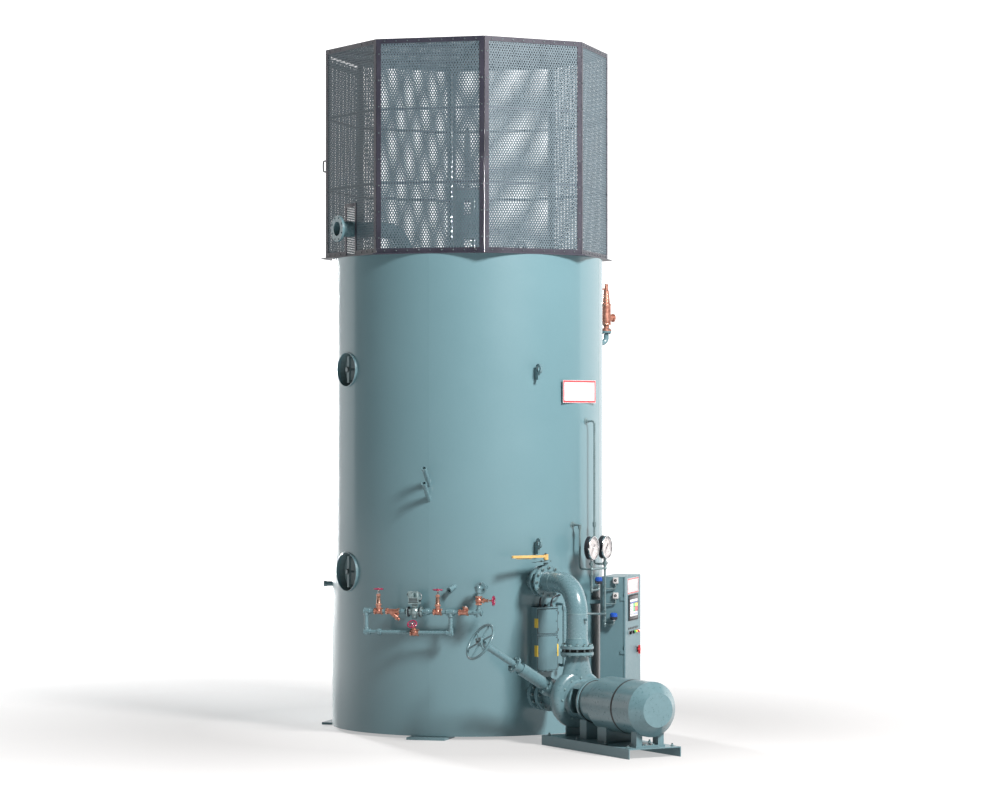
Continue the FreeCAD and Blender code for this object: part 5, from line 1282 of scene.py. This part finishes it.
def line_fittings():
    """Compression nuts, cocks and tees on the sensing lines."""
    shape = bmesh.new()

    def post(place, level):
        """Point on an upright line, from its face angle and its distance out."""
        return at(place[0], 0, casing_radius + place[1], level)

    sense, drain = (30.0, 0.106), (20.0, 0.103)
    for place, levels in ((sense, (2.206, 2.246)), (drain, (2.188, 2.222)),
                          (gauge_places[0], (1.800, 1.574, 1.700)),
                          (gauge_places[1], (1.846, 1.786, 1.590, 1.310, 1.196))):
        for level in levels:
            nut(shape, post(place, level), UP, 0.0175, 0.015, 0, 0.4)
    for place in gauge_places:
        spot = post(place, gauge_level - gauge_radius - 0.046)
        facing = outward(gauge_facing)
        turned(shape, spot - facing * 0.024, facing, [(0, 0.012), (0.003, 0.014), (0.045, 0.014),
                                                      (0.048, 0.012)], 24, 1)
        turned(shape, spot + sideways(gauge_facing) * 0.016, sideways(gauge_facing),
               [(0, 0.0075), (0.016, 0.0075), (0.017, 0.015), (0.027, 0.015), (0.029, 0.012)], 24, 1)
    top = 3.333
    turned(shape, at(30, 0, casing_radius - 0.001, top), outward(30),
           [(0, 0.034), (0.006, 0.034), (0.008, 0.022), (0.026, 0.020)], 28, 0)
    turned(shape, at(20, 0, casing_radius - 0.001, 2.232), outward(20),
           [(0, 0.034), (0.006, 0.034), (0.008, 0.022), (0.026, 0.020)], 28, 0)
    piece("line_fittings", shape, [tube_steel, fastener_steel])


line_fittings()


# ---------------------------------------------------------------- cabinet
door_face = casing_radius + 0.379
cabinet_half = 0.360


def door_block(shape, sides, outs, heights, soften=0.0, index=0):
    """Box on the cabinet door; outs are measured from its face."""
    wall_block(shape, 45, sides, (door_face + outs[0], door_face + outs[1]), heights, soften, index)


def screen():
    """Operator screen: dark bezel, glossy pane and plain coloured fields."""
    shape = bmesh.new()
    level, half, tall = 1.332, 0.224, 0.1375
    door_block(shape, (-half, half), (0, 0.0095), (level - tall, level + tall), 0.004, 0)
    door_block(shape, (-half + 0.014, half - 0.014), (0.0085, 0.0105),
               (level - tall + 0.014, level + tall - 0.014), 0.0008, 1)
    tints = list(screen_tints)
    fields = [
        ("white", -0.170, 0.172, 0.062, 0.086), ("blue", -0.170, 0.172, 0.048, 0.058),
        ("white", -0.170, -0.030, -0.092, 0.042), ("green", -0.016, 0.050, 0.006, 0.042),
        ("yellow", 0.056, 0.172, 0.006, 0.042), ("green", -0.016, 0.050, -0.040, 0.000),
        ("red", 0.056, 0.172, -0.040, 0.000), ("white", -0.016, 0.172, -0.092, -0.048),
    ]
    for tint, left, right, low_edge, high_edge in fields:
        door_block(shape, (left, right), (0.0103, 0.0110), (level + low_edge, level + high_edge), 0.0,
                   2 + tints.index(tint))
    for row in range(7):
        door_block(shape, (-0.162, -0.060 - 0.012 * (row % 3)), (0.0108, 0.0113),
                   (level + 0.028 - row * 0.017, level + 0.033 - row * 0.017), 0.0, 1)
    for column in range(4):
        door_block(shape, (-0.004 + column * 0.044, 0.024 + column * 0.044), (0.0108, 0.0113),
                   (level - 0.082, level - 0.058), 0.0, 2 + tints.index("blue"))
    made = piece("operator_screen", shape, [control_black, screen_dark, *screen_tints.values()],
                 "cabinet_door")
    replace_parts(made, "door_controls")


def red_border(shape, angle, face, level, half, tall, width, inset, index):
    """Raised border line inside a sign's edge."""
    outs = (face - 0.0002, face + 0.0006)
    edges = (-half + inset, half - inset, level - tall + inset, level + tall - inset)
    for sides, heights in frame_strips(*edges, width):
        wall_block(shape, angle, sides, outs, heights, 0.0, index)


def door_sign():
    """Blank white plate with a red border."""
    shape = bmesh.new()
    level, half, tall = 1.565, 0.2585, 0.0845
    door_block(shape, (-half, half), (0, 0.003), (level - tall, level + tall), 0.0012, 0)
    red_border(shape, 45, door_face + 0.003, level, half, tall, 0.012, 0.004, 1)
    for side in (-0.238, 0.238):
        for rise in (-0.064, 0.064):
            turned(shape, at(45, side, door_face + 0.003, level + rise), outward(45),
                   [(0, 0.005), (0.0015, 0.004)], 16, 2)
    made = piece("door_sign", shape, [sign_enamel, border_enamel, plate_steel], "cabinet_door")
    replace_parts(made, "door_controls")


def door_buttons():
    """Row of selector knobs, lamps and a mushroom button, with blank labels above."""
    shape = bmesh.new()
    level, spacing = 1.067, 0.078
    out = outward(45)
    looks = ("knob", "push", "knob", "green", "yellow", "mushroom")
    for step, look in enumerate(looks):
        side = (step - 2.5) * spacing
        spot = at(45, side, door_face, level)
        turned(shape, spot, out, [(0, 0.021), (0.005, 0.021), (0.008, 0.018)], 36, 5)
        if look == "knob":
            turned(shape, spot + out * 0.008, out, [(0, 0.0165), (0.006, 0.0165), (0.008, 0.0145)], 36, 0)
            slab(shape, spot + out * 0.015 - sideways(45) * 0.0045 - UP * 0.0165, sideways(45) * 0.009,
                 out * 0.012, UP * 0.033, 0.0022, 0)
            slab(shape, spot + out * 0.0266 - sideways(45) * 0.0008 + UP * 0.004, sideways(45) * 0.0016,
                 out * 0.0007, UP * 0.010, 0.0, 6)
        elif look == "push":
            turned(shape, spot + out * 0.008, out, [(0, 0.0165), (0.004, 0.0160), (0.0045, 0.0130),
                                                    (0.009, 0.0125), (0.010, 0.011)], 36, 0)
        elif look == "mushroom":
            turned(shape, spot + out * 0.008, out, [(0, 0.011), (0.010, 0.011), (0.011, 0.0195),
                                                    (0.015, 0.0210), (0.021, 0.0180), (0.024, 0.010)], 36, 3)
        else:
            turned(shape, spot + out * 0.008, out, [(0, 0.0150), (0.010, 0.0145), (0.015, 0.0115),
                                                    (0.0175, 0.0050)], 36, 1 if look == "green" else 2)
        door_block(shape, (side - 0.026, side + 0.026), (0, 0.0022), (level + 0.034, level + 0.054), 0.0006,
                   4)
    half = 0.036
    plate = (0.190 - half, 0.190 + half)
    door_block(shape, plate, (0, 0.005), (0.866 - half, 0.866 + half), 0.002, 5)
    for side in (plate[0] + 0.008, plate[1] - 0.008):
        for height in (0.866 - half + 0.008, 0.866 + half - 0.008):
            turned(shape, at(45, side, door_face + 0.005, height), out, [(0, 0.0034), (0.0014, 0.0026)], 12,
                   0)
    made = piece("door_buttons", shape, [control_black, lamp_green, lamp_yellow, lamp_red, ink_black,
                                         plate_steel, switch_white], "cabinet_door")
    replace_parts(made, "door_controls")


def isolator():
    """Isolator: black rosette and a red grip with finger flutes."""
    shape = bmesh.new()
    out, level, side = outward(45), 0.866, 0.190
    spot = at(45, side, door_face + 0.0053, level)
    turned(shape, spot, out, [(0, 0.0310), (0.004, 0.0315), (0.009, 0.0270), (0.010, 0.0190)], 48, 0)
    turned(shape, spot + out * 0.010, out, [(0, 0.0190), (0.022, 0.0180), (0.025, 0.0150)], 40, 1)
    door_block(shape, (side - 0.009, side + 0.009), (0.016, 0.039), (level - 0.046, level + 0.046), 0.0040, 1)
    for rise in (-0.034, -0.024, 0.024, 0.034):
        for face in (-1, 1):
            turned(shape, at(45, side + face * 0.0088, door_face + 0.0275, level + rise) - out * 0.009, out,
                   [(0, 0.0014), (0.018, 0.0014)], 10, 0)
    turned(shape, spot + out * 0.0325, out, [(0, 0.0050), (0.0012, 0.0045)], 20, 2)
    made = piece("isolator_grip", shape, [control_black, grip_red, plate_steel],
                 "isolator_handle")
    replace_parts(made, "isolator_handle")


screen()
door_sign()
door_buttons()
isolator()


def door_hardware():
    """Quarter-turn locks on the door and the gasket behind its edge."""
    shape = bmesh.new()
    out = outward(45)
    for level in (0.45, 1.20):
        spot = at(45, cabinet_half - 0.030, door_face, level)
        turned(shape, spot, out, [(0, 0.0140), (0.002, 0.0140), (0.004, 0.0115)], 32, 0)
        turned(shape, spot + out * 0.0038, out, [(0, 0.0060), (0.0016, 0.0055)], 3, 1)
    back = door_face - 0.020
    inner = cabinet_half - 0.0062
    for sides, heights in frame_strips(-inner, inner, 0.1065, 1.6655, 0.012):
        wall_block(shape, 45, sides, (back + 0.002, back + 0.0170), heights, 0.0025, 2)
    piece("door_hardware", shape, [plate_steel, control_black, black_rubber_and_shade],
          "cabinet_door")


def cabinet_inside():
    """Mounting plate with its rails, breakers, terminals and wiring ducts."""
    shape = bmesh.new()
    back = cabinet_back + 0.004
    plate_front, rail_front, duct_front = 0.0145, 0.022, 0.0745

    def fitted(sides, outs, heights, soften=0.0, index=0):
        """Box in the cabinet; outs are measured from its back wall."""
        wall_block(shape, 45, sides, (back + outs[0], back + outs[1]), heights, soften, index)

    fitted((-0.325, 0.325), (0.012, plate_front), (0.150, 1.620), 0.0005, 0)
    for side in (-0.29, 0.29):
        for level in (0.20, 1.57):
            turned(shape, at(45, side, back + 0.0005, level), outward(45), [(0, 0.009), (0.0115, 0.009)], 16,
                   0)
    for side in (-0.315, 0.265):
        fitted((side, side + 0.050), (plate_front, duct_front), (0.190, 1.580), 0.0015, 1)
    for level in (1.36, 1.02, 0.70, 0.36):
        fitted((-0.255, 0.255), (plate_front, rail_front), (level - 0.0175, level + 0.0175), 0.0, 0)
    for level in (1.20, 0.86, 0.53):
        fitted((-0.255, 0.255), (plate_front, duct_front), (level - 0.025, level + 0.025), 0.0015, 1)
    for count in range(11):
        left = -0.250 + count * 0.036
        fitted((left, left + 0.0345), (rail_front, 0.090), (1.315, 1.405), 0.0015, 2)
        fitted((left + 0.010, left + 0.0245), (0.090, 0.096), (1.350, 1.372), 0.001, 3)
    for count in range(5):
        left = -0.240 + count * 0.098
        fitted((left, left + 0.082), (rail_front, 0.108), (0.965, 1.080), 0.002, 3)
        fitted((left + 0.012, left + 0.070), (0.108, 0.112), (0.990, 1.055), 0.001, 2)
    fitted((-0.230, -0.060), (rail_front, 0.130), (0.630, 0.770), 0.003, 4)
    fitted((-0.020, 0.090), (rail_front, 0.100), (0.640, 0.760), 0.003, 1)
    fitted((0.120, 0.240), (rail_front, 0.092), (0.645, 0.755), 0.003, 3)
    for count in range(34):
        left = -0.245 + count * 0.0144
        fitted((left, left + 0.0130), (rail_front, 0.070), (0.325, 0.395), 0.0008, 5 if count % 8 == 7 else 1)
    piece("cabinet_inside", shape, [plate_steel, sheet_plastic, switch_white, control_black, fastener_steel,
                                    lamp_green])


door_hardware()
cabinet_inside()


# ---------------------------------------------------------------- junction box
def box_fittings():
    """Covers, latches, conduit hubs, blank yellow edge strips and black side plates, partly painted shade, of
    the junction box.
    """
    shape = bmesh.new()
    low_x, high_x = -0.051, 0.208
    face = casing_radius + 0.1153
    for bottom, top in ((0.709, 1.087), (1.093, 1.368)):
        wall_block(shape, 0, (low_x + 0.010, high_x - 0.010), (face - 0.001, face + 0.0035),
                   (bottom + 0.012, top - 0.012), 0.0015, 0)
        edges = (low_x + 0.006, high_x - 0.006, bottom + 0.008, top - 0.008)
        for sides, heights in frame_strips(*edges, 0.004):
            wall_block(shape, 0, sides, (face - 0.001, face + 0.0012), heights, 0.0, 3)
        for side in (low_x + 0.022, high_x - 0.022):
            for height in (bottom + 0.026, (bottom + top) / 2, top - 0.026):
                nut(shape, at(0, side, face + 0.0035, height), outward(0), 0.0065, 0.0045, 2, 0.3)
    for side, heights in ((low_x, (1.165, 1.262)), (low_x, (0.862, 0.980)), (high_x - 0.013, (0.862, 0.990))):
        wall_block(shape, 0, (side - 0.0012, side + 0.0142), (face - 0.050, face + 0.0046), heights, 0.0008,
                   1)
    for height in (0.760, 1.030, 1.140, 1.315):
        wall_block(shape, 0, (high_x - 0.001, high_x + 0.006), (face - 0.036, face + 0.0045),
                   (height - 0.016, height + 0.016), 0.0015, 2)
    # Black plates on the box's right side: partly its black side, partly painted shade of that side.
    wall_block(shape, 0, (high_x - 0.0005, high_x + 0.0028), (casing_radius + 0.012, face - 0.012),
               (0.722, 1.074), 0.001, 3)
    wall_block(shape, 0, (high_x - 0.0005, high_x + 0.0028), (casing_radius + 0.012, face - 0.012),
               (1.106, 1.356), 0.001, 3)
    for side in (0.012, 0.078, 0.150):
        spot = at(0, side, casing_radius + 0.070, 1.380)
        nut(shape, spot - UP * 0.001, UP, 0.021, 0.012, 2, 0.1)
        turned(shape, spot + UP * 0.010, UP, [(0, 0.015), (0.014, 0.014), (0.020, 0.010)], 24, 3)
        nut(shape, at(0, side, casing_radius + 0.070, 0.7095), -UP, 0.021, 0.012, 2, 0.1)
    piece("junction_box_fittings", shape, [sheet_enamel, caution_yellow, fastener_steel, black_case_and_shade])


box_fittings()
conduit_radius = 0.0085
conduit_routes = {  # side, distance out from the casing, height
    "conduit_left": ((0.012, 0.070, 1.398), (0.012, 0.070, 1.455), (0.032, 0.066, 1.490),
                     (0.100, 0.024, 1.500), (0.120, -0.010, 1.500)),
    "conduit_right": ((0.150, 0.070, 1.398), (0.150, 0.070, 1.455), (0.200, 0.066, 1.490),
                      (0.279, 0.060, 1.500), (0.300, -0.020, 1.500)),
}
for name, route in conduit_routes.items():
    points = [at(0, side, casing_radius + out, height) for side, out, height in route]
    tube(name, points, conduit_radius, black_case_and_shade)


# ---------------------------------------------------------------- signs, turret, valve and casing details
def casing_sign_trim():
    """Red border and corner screws of the casing's blank sign."""
    shape = bmesh.new()
    face = casing_radius + 0.0043
    sign_angle, level = 24.8, 3.647
    red_border(shape, sign_angle, face, level, 0.309, 0.121, 0.017, 0.005, 0)
    for side in (-0.283, 0.283):
        for rise in (-0.095, 0.095):
            turned(shape, at(sign_angle, side, face, level + rise), outward(sign_angle),
                   [(0, 0.0060), (0.0016, 0.0045)], 16, 1)
    piece("casing_sign_trim", shape, [border_enamel, plate_steel])


def turret_bolting():
    """Bolts of the electrode turret, its top flange and the terminal."""
    shape = bmesh.new()
    base = deck_level + 0.070
    cap_screws(shape, Vector((0, 0, base)), UP, 0.240, 16, 0.0165, 0.014)
    top = low("electrode_bushing").z + 0.022
    cap_screws(shape, Vector((0, 0, top)), UP, 0.150, 12, 0.013, 0.012)
    nut(shape, Vector((0, 0, high("electrode_bushing").z - 0.040)), UP, 0.024, 0.014, 0, 0.2)
    nut(shape, Vector((0, 0, high("electrode_bushing").z - 0.024)), UP, 0.020, 0.012, 0, 0.5)
    piece("turret_bolting", shape, [fastener_steel])


def safety_trim():
    """Flange studs, spring housing ribs, bonnet and outlet screws and lock nut of the safety valve."""
    shape = bmesh.new()
    out = casing_radius + 0.304
    axis = at(90, 0, out, 0)
    axis_level = 4.206
    base = axis_level + 0.133
    studs(shape, axis + UP * (base - 0.020), axis + UP * (base + 0.018), 0.047, 4, 0.0060, 0.0110, 0.010)
    body = axis_level + 0.201
    bonnet = body + 0.233
    for level in (body + 0.010, body + 0.222):
        hoop(shape, axis + UP * level, UP, 0.052, bead_section(0.014, 0.005), 48, 2)
    cap_screws(shape, axis + UP * bonnet, UP, 0.0465, 6, 0.0075, 0.007, 2)
    for step in range(3):
        hoop(shape, axis + UP * (bonnet + 0.030 + step * 0.036), UP, 0.041 - step * 0.0034,
             bead_section(0.010, 0.003), 40, 2)
    nut(shape, axis + UP * (bonnet + 0.150), UP, 0.030, 0.014, 2, 0.2)
    outlet = at(90, 0, out + 0.078, body + 0.080)
    cap_screws(shape, outlet, -outward(90), 0.0405, 4, 0.0062, 0.006, 2)
    piece("safety_valve_trim", shape, [fastener_steel, plate_steel, turned_bronze])


def manway_trim():
    """Enamelled rims and yoke nuts of the manways."""
    shape = bmesh.new()
    count = 96
    rim = ((-0.0065, 0.0085), (-0.0045, 0.0115), (0.0005, 0.0120), (0.0040, 0.0095), (0.0045, -0.012),
           (-0.0065, -0.012))
    for level, wide, tall in ((3.884, 0.2125, 0.1825), (1.722, 0.2325, 0.2085)):
        rings = []
        for step in range(count):
            turn = 2 * math.pi * step / count
            side, rise = math.cos(turn) * wide, math.sin(turn) * tall
            spread_out = Vector((math.cos(turn) / wide, math.sin(turn) / tall)).normalized()
            ring = []
            for inset, reach in rim:
                flat = (side + spread_out.x * inset, rise + spread_out.y * inset)
                here = math.sqrt(casing_radius ** 2 - flat[0] ** 2) if reach < 0 else casing_radius
                ring.append(shape.verts.new(at(-90, flat[0], here + reach, level + flat[1])))
            rings.append(ring)
        for step in range(count):
            first, second = rings[step], rings[(step + 1) % count]
            for here in range(len(rim)):
                there = (here + 1) % len(rim)
                shape.faces.new((first[here], first[there], second[there], second[here]))
        nut(shape, at(-90, 0, casing_radius - 0.012, level), outward(-90), 0.031, 0.020, 1, 0.3)
        turned(shape, at(-90, 0, casing_radius - 0.014, level), outward(-90),
               [(0, 0.034), (0.003, 0.034), (0.004, 0.031)], 28, 1)
    piece("manway_trim", shape, [casing_enamel, fastener_steel])


def casing_seams():
    """Flush cover strips over the joints of the casing sheets."""
    shape = bmesh.new()
    for angle in (-135, -45, 45, 135):
        wall_block(shape, angle, (-0.008, 0.008), (casing_radius - 0.004, casing_radius + 0.0005),
                   (low("casing_front").z + 0.001, casing_top - 0.001))
    piece("casing_seams", shape, [casing_enamel])


casing_seams()
casing_sign_trim()
turret_bolting()
safety_trim()
manway_trim()


# ---------------------------------------------------------------- floor, lights and camera
studio_radius = 70.0
floor_shade = (0.22, 0.22, 0.22)
floor_glow = (1.9, 4.5)
glow_reach = (3.0, 9.0)
backdrop_shade = (0.60, 0.60, 0.60)
backdrop_glow = 1.65
backdrop_height = 45.0
backdrop_start = 110
backdrop_step = 5
backdrop_bays = 28
key_turn = 38
strip_turn = -158
camera_azimuth = -29.14
camera_place = (-17.225, -30.902, 3.322)
camera_lens = 116.7
camera_shift = (0.0324, 0.0221)


def set_paint(name, shade, glow):
    """Matt studio paint with a glow of its own, which keeps its shadows soft."""
    return finish(name, shade, tuple(part * 1.04 for part in shade), (0.75, 0.85),
                  values={"Cloud Size": 0.3, "Peel Size": 90.0}, relief=0.02, glow=glow)


def stand(name, shape, surface):
    """A piece of the studio set."""
    mesh = bpy.data.meshes.new(name)
    shape.to_mesh(mesh)
    shape.free()
    mesh.materials.append(surface)
    mesh.shade_smooth()
    mesh.set_sharp_from_angle(angle=math.radians(40))
    made = bpy.data.objects.new(name, mesh)
    bpy.context.scene.collection.objects.link(made)


def floor():
    """Plain pale floor: a wide flat disc under the boiler, whose glow grows away from it."""
    shape = bmesh.new()
    turned(shape, Vector((0, 0, -0.05)), UP, [(0, studio_radius), (0.0499, studio_radius)], 128)
    paint = set_paint("floor_paint", floor_shade, floor_glow[0])
    tree = paint.node_tree
    away = tree.nodes.new("ShaderNodeVectorMath")
    away.operation = "LENGTH"
    tree.links.new(tree.nodes.new("ShaderNodeTexCoord").outputs["Object"], away.inputs[0])
    tree.links.new(spread(tree, away.outputs["Value"], *glow_reach, *floor_glow),
                   tree.nodes["Principled BSDF"].inputs["Emission Strength"])
    stand("floor", shape, paint)


def backdrop():
    """Plain pale curved wall behind the boiler."""
    shape = bmesh.new()
    rings = []
    for height in (-0.05, backdrop_height):
        rings.append([shape.verts.new(outward(camera_azimuth + backdrop_start + step * backdrop_step) *
                                      (studio_radius - 1) + UP * height)
                      for step in range(backdrop_bays + 1)])
    for here in range(backdrop_bays):
        shape.faces.new((rings[0][here], rings[1][here], rings[1][here + 1], rings[0][here + 1]))
    stand("backdrop", shape, set_paint("backdrop_paint", backdrop_shade, backdrop_glow))


def lamp(name, place, target, wide, tall, power, tint=(1.0, 1.0, 1.0), beam=180):
    """Soft rectangular studio light."""
    light = bpy.data.lights.new(name, "AREA")
    light.shape = "RECTANGLE"
    light.size, light.size_y = wide, tall
    light.energy = power
    light.spread = math.radians(beam)
    light.color = tint
    made = bpy.data.objects.new(name, light)
    made.location = place
    made.rotation_euler = (target - place).to_track_quat("-Z", "Y").to_euler()
    bpy.context.scene.collection.objects.link(made)


def studio():
    """Dim pale surround, a large key from the right and a tall strip behind the left side."""
    world = bpy.data.worlds.new("studio")
    bpy.context.scene.world = world
    world.use_nodes = True
    surround = world.node_tree.nodes["Background"]
    surround.inputs["Color"].default_value = (1.0, 1.0, 1.0, 1.0)
    surround.inputs["Strength"].default_value = 0.08
    centre = Vector((0, -0.6, 3.2))
    lamp("key", centre + outward(camera_azimuth + key_turn) * 16.0 + UP * 11.0, centre, 3.6, 3.6, 7900,
         (1.0, 0.945, 0.92))
    lamp("strip", centre + outward(camera_azimuth + strip_turn) * 14.0 + UP * 1.0, centre - UP * 0.4, 3.4,
         5.2, 300, beam=18)


camera_direction = -outward(camera_azimuth)
camera_data = bpy.data.cameras.new("view")
camera_data.lens = camera_lens
camera_data.sensor_width = 36.0
camera_data.shift_x, camera_data.shift_y = camera_shift
camera_data.clip_end = 300.0
camera = bpy.data.objects.new("view", camera_data)
camera.location = camera_place
camera.rotation_euler = camera_direction.to_track_quat("-Z", "Y").to_euler()
bpy.context.scene.collection.objects.link(camera)
bpy.context.scene.camera = camera
bpy.context.scene.view_settings.view_transform = "Standard"
floor()
backdrop()
studio()
